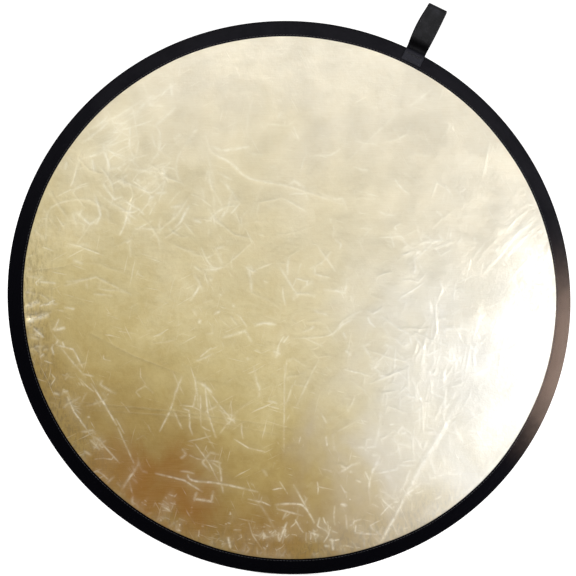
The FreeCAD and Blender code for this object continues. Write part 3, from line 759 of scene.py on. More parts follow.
# Folds that stand out, each through a few points in disc radii, with its height and half width in mm
# and how pale its painted highlight is.
MAIN_CREASES = [
    ([(-0.29, 0.61), (-0.265, 0.54), (-0.20, 0.50), (-0.13, 0.445), (0.02, 0.415), (0.23, 0.345)],
     0.26, 1.3, 0.75),
    ([(-0.285, 0.55), (-0.265, 0.46), (-0.25, 0.25)], 0.10, 1.8, 0.40),
    ([(-0.72, 0.50), (-0.62, 0.56), (-0.50, 0.605)], 0.15, 1.0, 0.60),
    ([(-0.72, 0.605), (-0.60, 0.66), (-0.50, 0.725)], 0.13, 1.2, 0.55),
    ([(-0.55, 0.63), (-0.46, 0.625), (-0.45, 0.55), (-0.50, 0.47)], 0.13, 1.0, 0.60),
    ([(-0.52, 0.60), (-0.53, 0.53), (-0.60, 0.43)], 0.12, 1.0, 0.50),
    ([(-0.69, 0.51), (-0.68, 0.455)], 0.18, 1.9, 1.00),
    ([(-0.68, 0.50), (-0.63, 0.44), (-0.615, 0.38), (-0.63, 0.33)], 0.14, 1.1, 0.60),
    ([(-0.60, 0.44), (-0.53, 0.41), (-0.48, 0.393), (-0.43, 0.435)], 0.17, 1.2, 0.85),
    ([(-0.46, 0.455), (-0.41, 0.44), (-0.37, 0.425)], 0.12, 1.1, 0.60),
    ([(-0.345, 0.38), (-0.39, 0.31), (-0.49, 0.225)], 0.13, 1.2, 0.55),
    ([(-0.31, 0.63), (-0.38, 0.53), (-0.39, 0.46), (-0.36, 0.41)], 0.10, 1.2, 0.42),
    ([(-0.86, 0.21), (-0.84, 0.33), (-0.72, 0.365), (-0.65, 0.33)], 0.12, 1.1, 0.50),
    ([(-0.80, 0.05), (-0.68, 0.085), (-0.55, 0.02)], 0.12, 1.1, 0.45),
    ([(-0.23, 0.12), (-0.12, 0.22)], 0.12, 1.0, 0.55),
    ([(-0.34, 0.30), (-0.30, 0.285)], 0.12, 1.9, 0.75),
    ([(0.20, 0.50), (0.40, 0.70)], 0.08, 1.1, 0.38),
    ([(0.105, 0.21), (0.175, 0.11)], 0.12, 1.0, 0.60),
    ([(0.69, 0.11), (0.78, 0.235), (0.90, 0.345)], 0.16, 3.0, 0.60),
    ([(0.72, 0.11), (0.80, 0.215), (0.90, 0.31)], 0.10, 2.4, 0.40),
    ([(-0.95, -0.035), (-0.88, -0.005)], 1.00, 2.3, 1.00),
    ([(-0.94, -0.085), (-0.85, -0.050)], 1.20, 2.6, 1.00),
    ([(-0.91, -0.10), (-0.87, -0.14)], 0.45, 1.5, 0.90),
    ([(-0.83, -0.163), (-0.765, -0.18), (-0.73, -0.25)], 0.17, 1.0, 0.90),
    ([(-0.705, -0.30), (-0.655, -0.38), (-0.61, -0.46)], 0.17, 1.0, 0.85),
    ([(-0.61, -0.46), (-0.55, -0.60)], 0.14, 0.9, 0.55),
    ([(-0.79, -0.35), (-0.765, -0.41), (-0.715, -0.48)], 0.16, 1.0, 0.80),
    ([(-0.68, -0.51), (-0.60, -0.60)], 0.12, 0.9, 0.50),
    ([(-0.40, -0.34), (-0.42, -0.40), (-0.46, -0.48)], 0.14, 1.0, 0.65),
    ([(-0.41, -0.39), (-0.375, -0.47)], 0.13, 1.0, 0.55),
    ([(-0.33, -0.27), (-0.325, -0.33), (-0.338, -0.39)], 0.15, 1.0, 0.70),
    ([(-0.295, -0.29), (-0.285, -0.40), (-0.255, -0.50)], 0.15, 1.0, 0.70),
    ([(-0.285, -0.32), (-0.24, -0.38), (-0.175, -0.455)], 0.12, 0.9, 0.50),
    ([(-0.60, -0.70), (-0.53, -0.59)], 0.13, 1.5, 0.55),
    ([(-0.48, -0.63), (-0.37, -0.655), (-0.30, -0.70)], 0.12, 1.0, 0.60),
    ([(-0.36, -0.63), (-0.34, -0.655), (-0.24, -0.665), (-0.10, -0.695)], 0.17, 1.1, 0.85),
    ([(-0.05, -0.74), (0.03, -0.735), (0.065, -0.75), (0.10, -0.81)], 0.20, 1.1, 1.00),
    ([(0.02, -0.66), (0.08, -0.77)], 0.14, 1.0, 0.65),
    ([(-0.04, -0.755), (0.06, -0.78)], 0.12, 1.0, 0.60),
    ([(0.0, -0.80), (-0.03, -0.88)], 0.17, 1.1, 0.85),
    ([(-0.215, -0.86), (-0.205, -0.91)], 0.20, 1.2, 1.00),
    ([(0.16, -0.86), (0.165, -0.91)], 0.18, 1.2, 0.95),
    ([(0.21, -0.77), (0.215, -0.83)], 0.15, 1.0, 0.80),
    ([(0.24, -0.84), (0.33, -0.845)], 0.13, 1.0, 0.65),
    ([(0.50, -0.08), (0.485, -0.14), (0.45, -0.21)], 0.22, 1.5, 0.95),
    ([(0.44, -0.225), (0.36, -0.26), (0.29, -0.29)], 0.19, 1.3, 0.85),
    ([(0.44, -0.21), (0.37, -0.195), (0.28, -0.165)], 0.14, 1.1, 0.60),
    ([(0.43, -0.21), (0.43, -0.31)], 0.16, 1.2, 0.75),
    ([(0.44, -0.26), (0.48, -0.36), (0.485, -0.47)], 0.15, 1.1, 0.60),
    ([(0.33, -0.04), (0.40, -0.09), (0.46, -0.12)], 0.15, 1.2, 0.75),
    ([(0.62, -0.33), (0.50, -0.55), (0.41, -0.72)], 0.26, 2.6, 0.85),
    ([(0.45, -0.64), (0.38, -0.79), (0.315, -0.91)], 0.28, 1.6, 0.85),
    ([(0.375, -0.80), (0.405, -0.86)], 0.13, 1.0, 0.60),
    ([(0.65, -0.14), (0.63, -0.26)], 0.14, 1.0, 0.60),
    ([(0.01, -0.13), (0.15, -0.115), (0.20, -0.06), (0.27, -0.02)], 0.14, 1.0, 0.65),
    ([(0.115, -0.20), (0.08, -0.27), (0.03, -0.38)], 0.13, 1.0, 0.55),
    ([(0.31, -0.62), (0.40, -0.60)], 0.13, 1.1, 0.70),
    ([(-0.01, -0.25), (-0.012, -0.55)], 0.10, 0.9, 0.50),
    ([(-0.92, 0.105), (-0.80, 0.12), (-0.70, 0.155)], -0.14, 1.0, 0.15),
    ([(-0.72, -0.11), (-0.55, -0.20), (-0.36, -0.27)], -0.13, 0.9, 0.10),
    ([(-0.78, -0.37), (-0.40, -0.40), (0.05, -0.46)], -0.12, 1.0, 0.10),
    ([(-0.70, -0.40), (-0.35, -0.42), (0.02, -0.49)], -0.08, 0.9, 0.10),
]
# Gathers that run in from the binding: middle angle, spread in degrees, number, height and length in mm,
# and how pale their painted highlights are.
GATHERS = [
    (184, 3, 5, 0.45, 18, 0.8),
    (186, 5, 7, 0.30, 15, 0.7),
    (150, 22, 18, 0.12, 20, 0.4),
    (240, 16, 22, 0.14, 12, 0.5),
    (275, 14, 18, 0.14, 12, 0.5),
    (310, 20, 14, 0.12, 15, 0.4),
    (70, 70, 16, 0.08, 14, 0.3),
]


# How a fold of a crumpled place runs on from leg to leg: its wander and its sharp turns in radians.
WANDER = 0.3
SHARP_TURN = 1.4
SHARP_SHARE = 0.25


def crumple(rng, centre, spread, count, leg, height, pale):
    """Short folds that wander over a place, and now and then turn sharply."""
    made = []
    for _ in range(count):
        path = [(np.array(centre) + rng.normal(0, 1, 2) * spread) * RIM_RADIUS]
        heading = rng.uniform(0, TURN)
        for _ in range(rng.integers(1, 4)):
            heading += rng.normal(0, WANDER) + (SHARP_TURN if rng.random() < SHARP_SHARE else 0.0)
            reach = leg * MM * rng.uniform(0.5, 1.5)
            path.append(path[-1] + reach * np.array([math.cos(heading), math.sin(heading)]))
        rise = height * MM * rng.uniform(0.4, 1.3)
        half_width = rng.uniform(0.7, 1.7) * MM * min(1.0, leg / 8)
        if max(np.linalg.norm(place) for place in path) < HELD_RADIUS - 1.7 * MM:
            made.append(Crease(path, rise, half_width, min(1.0, pale * rng.uniform(0.3, 1.5))))
    return made


def strokes(rng, centre, spread, count, length, direction, wander):
    """Slightly bent scratches of the film that run much the same way."""
    made = []
    for _ in range(count):
        middle = (np.array(centre) + rng.normal(0, spread, 2)) * RIM_RADIUS
        middle *= min(1.0, 0.86 * RIM_RADIUS / np.linalg.norm(middle))
        heading = math.radians(direction + rng.normal(0, 0.6) * wander)
        along = np.array([math.cos(heading), math.sin(heading)]) * length * MM * rng.lognormal(0, 0.35) / 2
        bend = middle + np.array([-along[1], along[0]]) * rng.normal(0, 0.12)
        rise = rng.uniform(0.03, 0.10) * MM
        path = [middle - along, bend, middle + along]
        made.append(Crease(path, rise, rng.uniform(0.6, 1.1) * MM, rng.uniform(0.25, 0.75)))
    return made


def gathers(rng, middle, spread, count, height, length, pale):
    """Folds that start under the binding and die out inwards."""
    made = []
    for _ in range(count):
        angle = math.radians(rng.normal(middle, spread))
        outward = np.array([math.cos(angle), math.sin(angle)])
        aside = np.array([-outward[1], outward[0]])
        reach = length * MM * rng.uniform(0.3, 1.2)
        start = outward * (HELD_RADIUS + 1 * MM)
        end = outward * (HELD_RADIUS - reach) + aside * reach * rng.normal(0, 0.45)
        bend = (start + end) / 2 + aside * reach * rng.normal(0, 0.12)
        rise = height * MM * rng.uniform(0.4, 1.2)
        half_width = rng.uniform(0.8, 1.7) * MM
        made.append(Crease([start, bend, end], rise, half_width, pale * rng.uniform(0.4, 1.0), from_rim=True))
    return made


def all_creases(rng, turn):
    """Every crease of one sheet, with the pattern turned around the disc by an angle in degrees."""
    made = []
    for points, height, half_width, pale in MAIN_CREASES:
        path = np.array(points) * RIM_RADIUS
        if len(path) > 3:
            path = spline(path, 6)
        made.append(Crease(path, height * MM, half_width * MM, pale))
    for field in CRUMPLES:
        made += crumple(rng, *field)
    for field in STROKES:
        made += strokes(rng, *field)
    for field in GATHERS:
        made += gathers(rng, *field)
    cosine, sine = math.cos(math.radians(turn)), math.sin(math.radians(turn))
    for crease in made:
        crease.path = crease.path @ np.array([[cosine, sine], [-sine, cosine]])
    return made


def spread_out(points, cell_size):
    """Keeps one point in each cell."""
    cells = np.floor(points / cell_size).astype(int)
    _, first = np.unique(cells, axis=0, return_index=True)
    return points[np.sort(first)]


def sheet_points(creases):
    """A loose grid of points, with rows of closer points along every crease."""
    rows = []
    for crease in creases:
        points, aside = crease.stations()
        rows += [points + aside * share * crease.half_width for share in CREASE_ROWS]
    close = np.vstack(rows)
    close = spread_out(close[np.linalg.norm(close, axis=1) < SHEET_RADIUS - 2 * MM], 0.45 * MM)
    tree = kdtree.KDTree(len(close))
    for i, point in enumerate(close):
        tree.insert((point[0], point[1], 0), i)
    tree.balance()
    loose = []
    count = int(SHEET_RADIUS / SHEET_STEP / 0.866) + 1
    for row in range(-count, count + 1):
        for column in range(-count, count + 1):
            x = (column + 0.5 * (row % 2)) * SHEET_STEP
            z = row * SHEET_STEP * 0.866
            if math.hypot(x, z) < SHEET_RADIUS - 0.7 * SHEET_STEP and tree.find((x, z, 0))[2] > 1.2 * MM:
                loose.append((x, z))
    return np.vstack([close, np.array(loose), rim_points()])


def rim_points(radius=SHEET_RADIUS):
    return around(radius, 0, np.linspace(0, TURN, RIM_CORNERS, endpoint=False))[:, [0, 2]]


def flat_points(radius):
    """Points of a flat round cloth, closer in X, where the folded disc bends it."""
    xs = np.arange(-radius, radius, FLAT_STEP_ACROSS)
    zs = np.arange(-radius, radius, FLAT_STEP_UP)
    grid = np.stack(np.meshgrid(xs, zs), -1).reshape(-1, 2)
    grid = grid[np.linalg.norm(grid, axis=1) < radius - FLAT_STEP_ACROSS]
    return np.vstack([grid, rim_points(radius)])


def joined(points, radius=SHEET_RADIUS):
    """Triangles between scattered points: the points in their new order, the faces and the rim's loop."""
    verts, _, faces, _, _, _ = delaunay_2d_cdt([Vector(point) for point in points], [], [], 0, 1e-7)
    placed = np.array([(v.x, v.y) for v in verts])
    outer = np.flatnonzero(np.linalg.norm(placed, axis=1) > radius - 0.01 * MM)
    loop = outer[np.argsort(np.arctan2(placed[outer, 1], placed[outer, 0]))]
    return placed, [tuple(face) for face in faces], loop


def edge_faces(loop, back_loop):
    """Quads between the rims of a sheet's two sides."""
    pairs = list(zip(loop, back_loop))
    return [(a, c, d, b) for (a, b), (c, d) in zip(pairs, pairs[1:] + pairs[:1])]


def undulation(points, seed):
    """Soft swells of the stretched cloth, flat where the binding holds it."""
    height = np.zeros(len(points))
    for i, (x, z) in enumerate(points):
        place = Vector((x * SWELLS_PER_METRE, z * SWELLS_PER_METRE, seed))
        height[i] = sum(share * noise.noise(place * finer) for finer, share in SWELLS)
    return (height + 0.9) * SWELL_HEIGHT * eased(points, SWELL_BLEND)


def eased(points, reach):
    """0 at the binding, rising smoothly to 1 at a distance inside it."""
    share = np.clip((HELD_RADIUS - np.linalg.norm(points, axis=1)) / reach, 0, 1)
    return share * share * (3 - 2 * share)


def reflecting_sheet(name, side, material, slot_name, node, seed, turn):
    """A creased sheet of film, closed by a flat back."""
    rng = np.random.default_rng(seed)
    creases = all_creases(rng, turn)
    points, faces, loop = joined(sheet_points(creases))
    back, back_faces, back_loop = joined(flat_points(SHEET_RADIUS))
    height = undulation(points, seed)
    ridge, haze = np.zeros(len(points)), np.zeros(len(points))
    for crease in creases:
        crease.add_to(points, height, ridge, haze)
    free = eased(points, CREASE_BLEND)
    level = FACE_LEVEL + np.clip(height, 0, None) * free
    level = np.concatenate([level, np.full(len(back), FACE_LEVEL - SHEET_THICKNESS)])
    faces += [tuple(len(points) + corner for corner in face) for face in back_faces]
    faces += edge_faces(loop, len(points) + back_loop)
    flat = np.vstack([points, back])
    across = -flat[:, 0] if side == REAR else flat[:, 0]
    obj = new_object(name, np.stack([across, side * level, flat[:, 1]], -1), faces)
    plain = np.zeros(len(back))
    # Masks of the painted highlights along the creases and of the painted haze of light around them.
    store_floats(obj, "crease", np.concatenate([ridge * free, plain]))
    store_floats(obj, "haze", np.concatenate([np.clip(haze, 0, 1), plain]))
    use(obj, material, slot_name, node)
    return flex(obj)


gold_foil = foil_material("gold_foil", GOLD_TONES, GOLD_SHADE_PATCHES, 1.0)
silver_foil = foil_material("silver_foil", SILVER_TONES, SILVER_STAINS, 5.0)
reflecting_sheet("gold_sheet", FRONT, gold_foil, "gold_foil", "gold_face", 11, 0.0)
reflecting_sheet("silver_sheet", REAR, silver_foil, "silver_foil", "silver_face", 29, 140.0)

# ---- hidden cloth ------------------------------------------------------------------------------


def inner_cloth(name, node, material, slot_name):
    """A flat round ply between the panels, from a CAD node's place."""
    low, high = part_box(node)
    points, faces, loop = joined(flat_points(high.x), high.x)
    count = len(points)
    sides = [np.insert(points, 1, level, axis=1) for level in (low.y, high.y)]
    faces = faces + [tuple(corner + count for corner in face) for face in faces]
    faces += edge_faces(loop, loop + count)
    obj = new_object(name, np.vstack(sides), faces)
    use(obj, material, slot_name, node)
    return flex(obj)


white_cloth = cloth_material("white_lining_cloth", (0.72, 0.72, 0.69), (0.9, 0.9, 0.87), 0.8 * MM)
black_cloth = cloth_material("black_lining_cloth", (0.008, 0.008, 0.01), (0.03, 0.03, 0.033), 0.8 * MM)
diffuser_cloth = cloth_material("diffuser_cloth", (0.8, 0.8, 0.79), (0.95, 0.95, 0.94), 0.6 * MM, 0.3)
inner_cloth("white_lining_ply", "white_lining", white_cloth, "white_fabric")
inner_cloth("black_lining_ply", "black_lining", black_cloth, "black_fabric")
inner_cloth("diffuser_ply", "diffuser_sheet", diffuser_cloth, "diffuser_fabric")

# ---- bindings ----------------------------------------------------------------------------------

BAND_WIDTH = 15.5 * MM
BAND_WIDTH_SWING = 1.2 * MM
NARROWEST_AT = math.radians(48)


def band_inner_radius(angle):
    """The hand-sewn binding is a little narrower at the upper right than at the lower left."""
    swing = BAND_WIDTH_SWING * math.cos(angle - NARROWEST_AT)
    waver = 0.18 * MM * math.sin(7 * angle + 1.0) + 0.12 * MM * math.sin(17 * angle)
    return RIM_RADIUS - BAND_WIDTH + swing + waver


def band_section(side):
    """Crowned over the hoop, pressed down at its seam and rolled over the rim's edge."""
    top = BAND_TOP / MM

    def section(angle):
        inner = band_inner_radius(angle) / MM
        ripple = 0.07 * math.sin(23 * angle) + 0.05 * math.sin(61 * angle + 2)
        crown = [
            (inner, top - 0.35),
            (inner + 0.25, top - 0.08),
            (inner + 1.0, top - 0.02),
            (inner + 1.8, top - 0.12),
            (inner + 2.8, top + 0.10),
            (inner + 4.5, top + 0.45),
            (271.5, top + 0.78 + ripple),
            (274.5, top + 0.74 + ripple),
            (277.0, top + 0.38),
            (278.8, top - 0.20),
            (279.8, top - 0.75),
            (280.0, top - 1.25),
        ]
        under = [
            (279.6, top - 1.35),
            (279.3, top - 0.95),
            (278.4, top - 0.58),
            (276.0, top - 0.30),
            (271.5, top - 0.10),
            (inner + 4.0, top - 0.45),
            (inner + 1.0, top - 0.60),
        ]
        return [(r * MM, side * u * MM) for r, u in crown + under]

    return section


def band_piece(name, side, node):
    obj = ring(name, band_section(side))
    smooth = obj.modifiers.new("smooth", "SUBSURF")
    smooth.levels = smooth.render_levels = 1
    use(obj, binding, "binding", node)
    return flex(obj)


band_piece("front_binding", FRONT, "front_band")
band_piece("rear_binding", REAR, "rear_band")


STITCH_SHARE = 0.80


def stitches(name, sides, node, thread, radius_at, count, level, dips, thickness, corners):
    """Rows of lock stitches around the disc: each one dips into the cloth at both ends."""
    half = STITCH_SHARE / 2 * TURN / count
    paths, normals, binormals = [], [], []
    for side in sides:
        for i in range(count):
            angles = TURN * i / count + half * np.linspace(-1, 1, len(dips))
            paths.append(around(radius_at(angles[2]), side * (level + np.array(dips) * MM), angles))
            normals.append(around(1.0, 0.0, angles))
            binormals.append(np.tile([0.0, 1.0, 0.0], (len(dips), 1)))
    obj = tubes(name, paths, normals, binormals, thickness / 2, corners)
    use(obj, thread, "thread", node)
    return flex(obj)


def band_stitches(name, side, node):
    count = round(TURN * STITCH_RADIUS / (3.3 * MM))
    level = BAND_TOP - 0.02 * MM
    dips = (-0.28, 0.06, 0.14, 0.06, -0.28)
    stitches(name, (side,), node, black_thread, band_stitch_radius, count, level, dips, 0.48 * MM, 6)


def band_stitch_radius(angle):
    return band_inner_radius(angle) + 1.8 * MM


band_stitches("front_binding_stitches", FRONT, "front_band_stitching")
band_stitches("rear_binding_stitches", REAR, "rear_band_stitching")

# ---- edge tape, sleeve and hoop ----------------------------------------------------------------

ZIP_FIRST, ZIP_LAST = 107.0, 253.0


def edge_tape_section(angle):
    half = BAND_UNDER / MM - 0.15
    outer = EDGE_TAPE_RADIUS / MM
    shape = [(0.0, -half), (0.55, -half * 0.6), (0.75, 0.0), (0.55, half * 0.6), (0.0, half)]
    outside = [(outer - 0.75 + rise, level) for rise, level in shape]
    inside = [(radius - 0.45, level) for radius, level in reversed(outside)]
    return [(radius * MM, level * MM) for radius, level in outside + inside]


edge_tape = ring("edge_tape", edge_tape_section, ZIP_LAST + 0.2, 360 + ZIP_FIRST - 0.2)
use(edge_tape, binding, "binding", "closed_edge_tape")
flex(edge_tape)


def sleeve_section(angle):
    """A tape folded around the hoop, its two legs sewn through the diffuser's edge."""
    pucker = 0.06 * math.sin(90 * angle)
    outside = [(258.0, 0.42), (262, 0.46), (268.8, 0.47), (269.6, 1.1), (269.8, 2.4), (270.4, 3.0 + pucker)]
    outside += [(271.6, 3.1), (272.7, 3.0 + pucker), (273.2, 2.4), (273.25, 0.0)]
    inside = [(272.95, 0.0), (272.9, 2.2), (272.4, 2.75), (271.5, 2.8), (270.6, 2.75), (270.1, 2.2)]
    inside += [(269.9, 1.0), (269.4, 0.2), (262, 0.16), (258.0, 0.15)]
    lower_outside = [(r, -u) for r, u in reversed(outside[:-1])]
    lower_inside = [(r, -u) for r, u in reversed(inside)]
    return [(r * MM, u * MM) for r, u in outside + lower_outside + lower_inside + inside[1:]]


sleeve_cloth = cloth_material("sleeve_cloth", (0.62, 0.62, 0.6), (0.82, 0.82, 0.8), 0.7 * MM)
sleeve = ring("hoop_sleeve_tape", sleeve_section, step_mm=4.0)
use(sleeve, sleeve_cloth, "sleeve_fabric", "hoop_sleeve")
flex(sleeve)


SEAM_RADIUS = 260 * MM


def seam_radius(angle):
    return SEAM_RADIUS


def sleeve_stitches(name, node):
    """Both faces of the seam through the sleeve's legs, as one piece."""
    count = round(TURN * SEAM_RADIUS / (4 * MM))
    dips = (-0.2, 0.04, 0.1, 0.04, -0.2)
    stitches(name, (FRONT, REAR), node, white_thread, seam_radius, count, 0.62 * MM, dips, 0.4 * MM, 5)


sleeve_stitches("sleeve_stitches", "sleeve_stitching")


HOOP_THICKNESS = 0.6 * MM
HOOP_RADIUS = -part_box("spring_hoop")[0].x - HOOP_THICKNESS / 2


def hoop_section(angle):
    """Flat steel band with rolled edges."""
    half, thick, roll = 2.0, 0.3, 0.12
    corners = [(-thick, -half + roll), (-thick + roll, -half), (thick - roll, -half), (thick, -half + roll)]
    corners += [(thick, half - roll), (thick - roll, half), (-thick + roll, half), (-thick, half - roll)]
    return [(HOOP_RADIUS + r * MM, u * MM) for r, u in corners]


hoop = ring("hoop_band", hoop_section, 0.2, 359.8)
hoop_steel = steel_material("hoop_steel", (0.20, 0.22, 0.26), (0.42, 0.44, 0.48), "rest_place", 3000.0)
use(hoop, hoop_steel, "spring_steel", "spring_hoop")
flex(hoop)

# ---- zip ---------------------------------------------------------------------------------------

COIL_FIRST, COIL_LAST = 109.0, 252.0
COIL_PITCH = 1.3 * MM
FILAMENT = 0.26 * MM


def coil_piece(name, side, node, phase):
    """A filament wound into a flat coil along the tape; the two coils mesh at the mid-plane."""
    centre_radius = 275.45 * MM
    turns = int(math.radians(COIL_LAST - COIL_FIRST) * centre_radius / COIL_PITCH)
    t = np.arange(turns * 10) / 10 + phase
    angle = math.radians(COIL_FIRST) + t * COIL_PITCH / centre_radius
    lap = TURN * t
    radial, level = np.cos(lap), np.sin(lap)
    middle, wide, tall = 0.95 * MM, 0.98 * MM, 0.62 * MM
    path = around(centre_radius + tall * radial, side * (middle + wide * level), angle)
    outward = around(radial, side * level, angle)
    travel = np.stack([-np.sin(angle), 0 * angle, np.cos(angle)], -1)
    obj = tubes(name, [path], [outward], [travel], FILAMENT, 5)
    use(obj, nylon, "coil_nylon", node)
    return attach(obj, "disc")


nylon = nylon_material()
coil_piece("front_coil", FRONT, "zip_coil_front", 0.0)
coil_piece("rear_coil", REAR, "zip_coil_rear", 0.5)

# ---- hang loop ---------------------------------------------------------------------------------

STRAP_THICKNESS = 1.1 * MM
BEND_RADIUS = 3.1 * MM
SEWN_END = -13.2


def strap_path():
    """The strap's centre line in (height in Y, distance beyond the root), front end to rear end."""
    tip = LOOP_LENGTH / MM - 0.6 - BEND_RADIUS / MM
    sewn = [(-5.15, SEWN_END), (-5.62, -11.8), (-5.85, -9.6), (-5.75, -7.2), (-5.30, -5.0), (-4.30, -3.0)]
    turned = [(-3.0, -2.05), (-1.7, -1.55), (-0.95, -0.6), (-0.70, 1.0)]
    leg = [(-0.80, 5.0), (-1.35, 12.0), (-2.15, 22.0), (-2.85, 32.0), (-3.1, tip)]
    quarter = [(-2.2, tip + 2.2), (0.0, tip + 3.1)]
    front = sewn + turned + leg + quarter
    rear = [(-y, z) for y, z in reversed(front[:-1])]
    return spline(front + rear, 7) * MM


def strap_profile():
    """The strap's cross-section: ribs on both faces and thicker selvedges, as (across, thickness)."""
    across = np.linspace(-STRAP_WIDTH / 2, STRAP_WIDTH / 2, 97)
    ribs = 0.05 * MM * np.cos(TURN * across / RIB_PITCH)
    edge = np.clip((STRAP_WIDTH / 2 - np.abs(across)) / (0.5 * MM), 0, 1)
    half = (STRAP_THICKNESS / 2 + ribs) * np.sqrt(1 - (1 - edge) ** 2 * 0.98)
    return across, half


def strap_shift(level, beyond):
    """The front leg leans a touch to the right and the rear leg to the left."""
    height = float(np.clip(beyond / (LOOP_LENGTH * 0.9), 0, 1))
    lean = 0.35 if level < 0 else -1.5
    return (lean * math.sin(math.pi * height) + 0.6 * height) * MM


def strap_squeeze(beyond):
    """The strap is a little narrower where it turns back on itself."""
    turned = float(np.clip((beyond - LOOP_LENGTH + 3.4 * MM) / (3.4 * MM), 0, 1))
    return 1 - 0.05 * turned * turned


def strap_point(across, level, beyond):
    place = LOOP_ROOT + LOOP_ACROSS * across + LOOP_UP * beyond
    return (place.x, level, place.z)


def strap_piece():
    path = strap_path()
    across, half = strap_profile()
    heading = np.gradient(path, axis=0)
    heading /= np.linalg.norm(heading, axis=1)[:, None]
    normal = np.stack([-heading[:, 1], heading[:, 0]], -1)
    travel = np.concatenate([[0], np.cumsum(np.linalg.norm(np.diff(path, axis=0), axis=1))])
    verts, strap_place = [], []
    ring_across = np.concatenate([across, across[::-1][1:-1]])
    ring_half = np.concatenate([half, -half[::-1][1:-1]])
    for (level, beyond), (out_y, out_z), along in zip(path, normal, travel):
        shift = strap_shift(level, beyond)
        squeeze = strap_squeeze(beyond)
        for a, h in zip(ring_across, ring_half):
            verts.append(strap_point(a * squeeze + shift, level + out_y * h, beyond + out_z * h))
            strap_place.append((a, along, h))
    count = len(path)
    corners = len(ring_across)
    faces = grid_faces(count, corners, wrap_columns=True)
    faces.append(tuple(range(corners)))
    faces.append(tuple(range(len(verts) - corners, len(verts))))
    obj = new_object("hang_strap", verts, faces)
    store_vectors(obj, "strap_place", strap_place)
    beyond = (mesh_points(obj) - np.array(LOOP_ROOT)) @ np.array(LOOP_UP)
    # Painted shade: the mask for the near-black band just above the root, where the strap comes out of its
    # fold.
    fold = np.exp(-(((beyond - 4.5 * MM) / (6 * MM)) ** 2))
    store_floats(obj, "painted_fold_shade", np.clip(fold, 0, 1) * (beyond > -4 * MM))
    use(obj, webbing, "webbing", "hang_loop", "hang_loop_ends")
    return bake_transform(obj)


strap_piece()


def tack_bars():
    """Zigzag bars of thread that hold both sewn ends."""
    paths, normals, binormals = [], [], []
    along, outward = np.array(LOOP_UP), np.array([0.0, 1.0, 0.0])
    for side in (FRONT, REAR):
        for beyond, level in ((-11.3, 6.10), (-5.9, 6.12)):
            steps = 41
            across = np.linspace(-8, 8, steps) * MM
            zigzag = (np.arange(steps) % 2 - 0.5) * 1.4 * MM
            path = [
                strap_point(a, side * level * MM, beyond * MM + swing) for a, swing in zip(across, zigzag)
            ]
            paths.append(np.array(path))
            normals.append(np.tile(outward, (steps, 1)))
            binormals.append(np.tile(along * 0.6 + np.array(LOOP_ACROSS) * 0.8, (steps, 1)))
    obj = tubes("strap_tack_bars", paths, normals, binormals, 0.2 * MM, 5)
    use(obj, black_thread, "thread", "loop_tacks")
    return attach(obj, "far_side")


tack_bars()

# ---- CAD parts that keep their own shape -------------------------------------------------------


def dress(node, material, ease=0.0):
    """Gives a shown CAD node its finish, and eases its edges where ease is set."""
    obj = frame["nodes"][node]
    obj.material_slots[0].material = material
    if ease:
        weld = obj.modifiers.new("weld", "WELD")
        weld.merge_threshold = 0.001 * MM
        bevel = obj.modifiers.new("ease", "BEVEL")
        bevel.width = ease
        bevel.segments = 2
        bevel.limit_method = "ANGLE"
        bevel.angle_limit = math.radians(35)
        bevel.harden_normals = True


plated = steel_material("zinc_plate", (0.42, 0.43, 0.45), (0.68, 0.69, 0.70), "object", 1500.0)
rivet_metal = steel_material("rivet_aluminium", (0.62, 0.62, 0.64), (0.82, 0.82, 0.83), "object", 900.0)
for tape in ("zip_tape_front", "zip_tape_rear"):
    dress(tape, zip_cloth)
for stop in ("zip_top_stops", "zip_bottom_stop"):
    dress(stop, enamel, 0.15 * MM)
for casting in ("zip_slider", "zip_pull"):
    dress(casting, enamel, 0.12 * MM)
dress("hoop_ferrule", plated, 0.1 * MM)
dress("ferrule_rivets", rivet_metal)
dress("ferrule_tape", wrap_material())

# ---- stage, light and camera -------------------------------------------------------------------


# How bright the floor is to the camera, and in the disc's reflections.
FLOOR_GLOW = 0.75
FLOOR_BOUNCE = 0.30
FLOOR_REACH = 14


def add_floor():
    """A plain pale floor under the disc's lowest point, dimmer in reflections than to the camera."""
    level = cad_low.z - 0.4 * MM
    corners = [(x * FLOOR_REACH, y * FLOOR_REACH, level) for x, y in ((-1, -1), (1, -1), (1, 1), (-1, 1))]
    floor = new_object("floor", corners, [(0, 1, 2, 3)], False)
    shader = Shader("floor_paint", "object")
    camera_ray = shader.node("ShaderNodeLightPath", "Is Camera Ray")
    material = shader.set(
        Base_Color=shader.mix(shader.noise(6.0, 3.0), (0.80, 0.80, 0.80), (0.84, 0.84, 0.84)),
        Roughness=0.9,
        Emission_Color=(1.0, 1.0, 1.0),
        Emission_Strength=camera_ray * (FLOOR_GLOW - FLOOR_BOUNCE) + FLOOR_BOUNCE,
    )
    floor.data.materials.append(material)


# Soft boxes: name, place, the point they face, width, height and watts.
LIGHTS = [
    ("near_right_box", (0.48, -0.34, -0.21), (0.29, 0.0, -0.20), 0.26, 0.36, 2.2),
    ("near_high_box", (-0.05, -0.80, 0.42), (0.0, 0.0, 0.30), 0.9, 0.20, 1.3),
    ("left_box", (-1.6, -1.8, 0.3), (0.0, 0.0, 0.0), 0.4, 1.4, 8),
    ("right_box", (1.3, -1.8, 0.0), (0.0, 0.0, 0.0), 0.4, 1.4, 7),
    ("high_box", (0.1, -1.5, 1.5), (0.0, 0.0, 0.1), 1.4, 0.4, 7),
    ("rear_box", (-0.6, 1.8, 1.0), (0.0, 0.0, 0.0), 1.4, 1.2, 10),
]


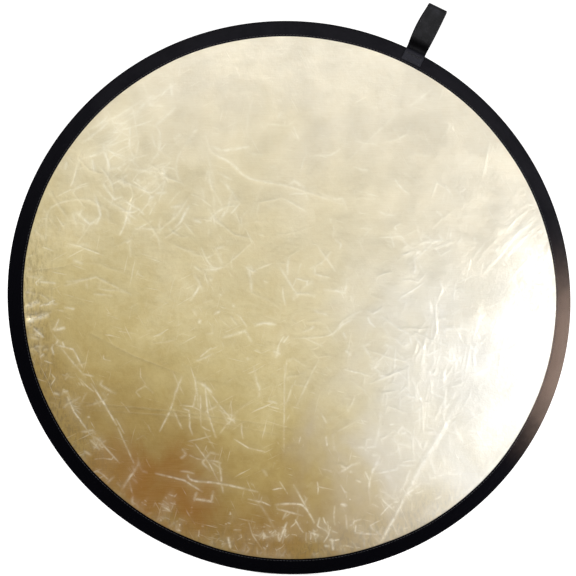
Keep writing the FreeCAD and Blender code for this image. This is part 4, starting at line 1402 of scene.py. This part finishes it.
def add_light(name, place, target, width, height, watts):
    """A soft box that the camera doesn't see."""
    data = bpy.data.lights.new(name, "AREA")
    data.shape = "RECTANGLE"
    data.size = width
    data.size_y = height
    data.energy = watts
    lamp = bpy.data.objects.new(name, data)
    lamp.location = place
    lamp.rotation_euler = (Vector(target) - Vector(place)).to_track_quat("-Z", "Y").to_euler()
    lamp.visible_camera = False
    bpy.context.scene.collection.objects.link(lamp)


def add_world():
    """White to the camera; to the disc, a soft room that is dimmer low down and in front."""
    world = bpy.data.worlds.new("studio")
    bpy.context.scene.world = world
    world.use_nodes = True
    nodes = Nodes(world.node_tree)
    nodes.tree.nodes.clear()
    _, depth, rise = nodes.parts(nodes.node("ShaderNodeTexCoord", "Generated"))
    front = nodes.between(depth, -1.0, 0.2, 0.29, 0.50, "LINEAR")
    high = nodes.between(rise, -0.6, 0.7, 0.85, 1.15, "LINEAR")
    room = nodes.node("ShaderNodeBackground", 0, {0: (1.0, 0.99, 0.975), 1: front * high})
    white = nodes.node("ShaderNodeBackground", 0, {0: (1.0, 1.0, 1.0)})
    camera_ray = nodes.node("ShaderNodeLightPath", "Is Camera Ray")
    seen = nodes.node("ShaderNodeMixShader", 0, {0: camera_ray, 1: room, 2: white})
    output = nodes.tree.nodes.new("ShaderNodeOutputWorld")
    nodes.feed(output.inputs[0], seen)


CAMERA_AZIMUTH = math.radians(3.8)
CAMERA_ELEVATION = math.radians(11.5)
CAMERA_DISTANCE = 3.2
VIEW_WIDTH = 0.5714
AIM = (0.0004, 0.0, 0.0143)


def add_camera():
    data = bpy.data.cameras.new("camera")
    data.lens = data.sensor_width * CAMERA_DISTANCE / VIEW_WIDTH
    camera = bpy.data.objects.new("camera", data)
    bpy.context.scene.collection.objects.link(camera)
    level = math.cos(CAMERA_ELEVATION)
    aside, nearer = math.sin(CAMERA_AZIMUTH) * level, -math.cos(CAMERA_AZIMUTH) * level
    back = Vector((aside, nearer, math.sin(CAMERA_ELEVATION)))
    camera.location = Vector(AIM) + back * CAMERA_DISTANCE
    camera.rotation_euler = (-back).to_track_quat("-Z", "Y").to_euler()
    bpy.context.scene.camera = camera


add_floor()
add_world()
for light in LIGHTS:
    add_light(*light)
add_camera()
bpy.context.scene.view_settings.view_transform = "Standard"
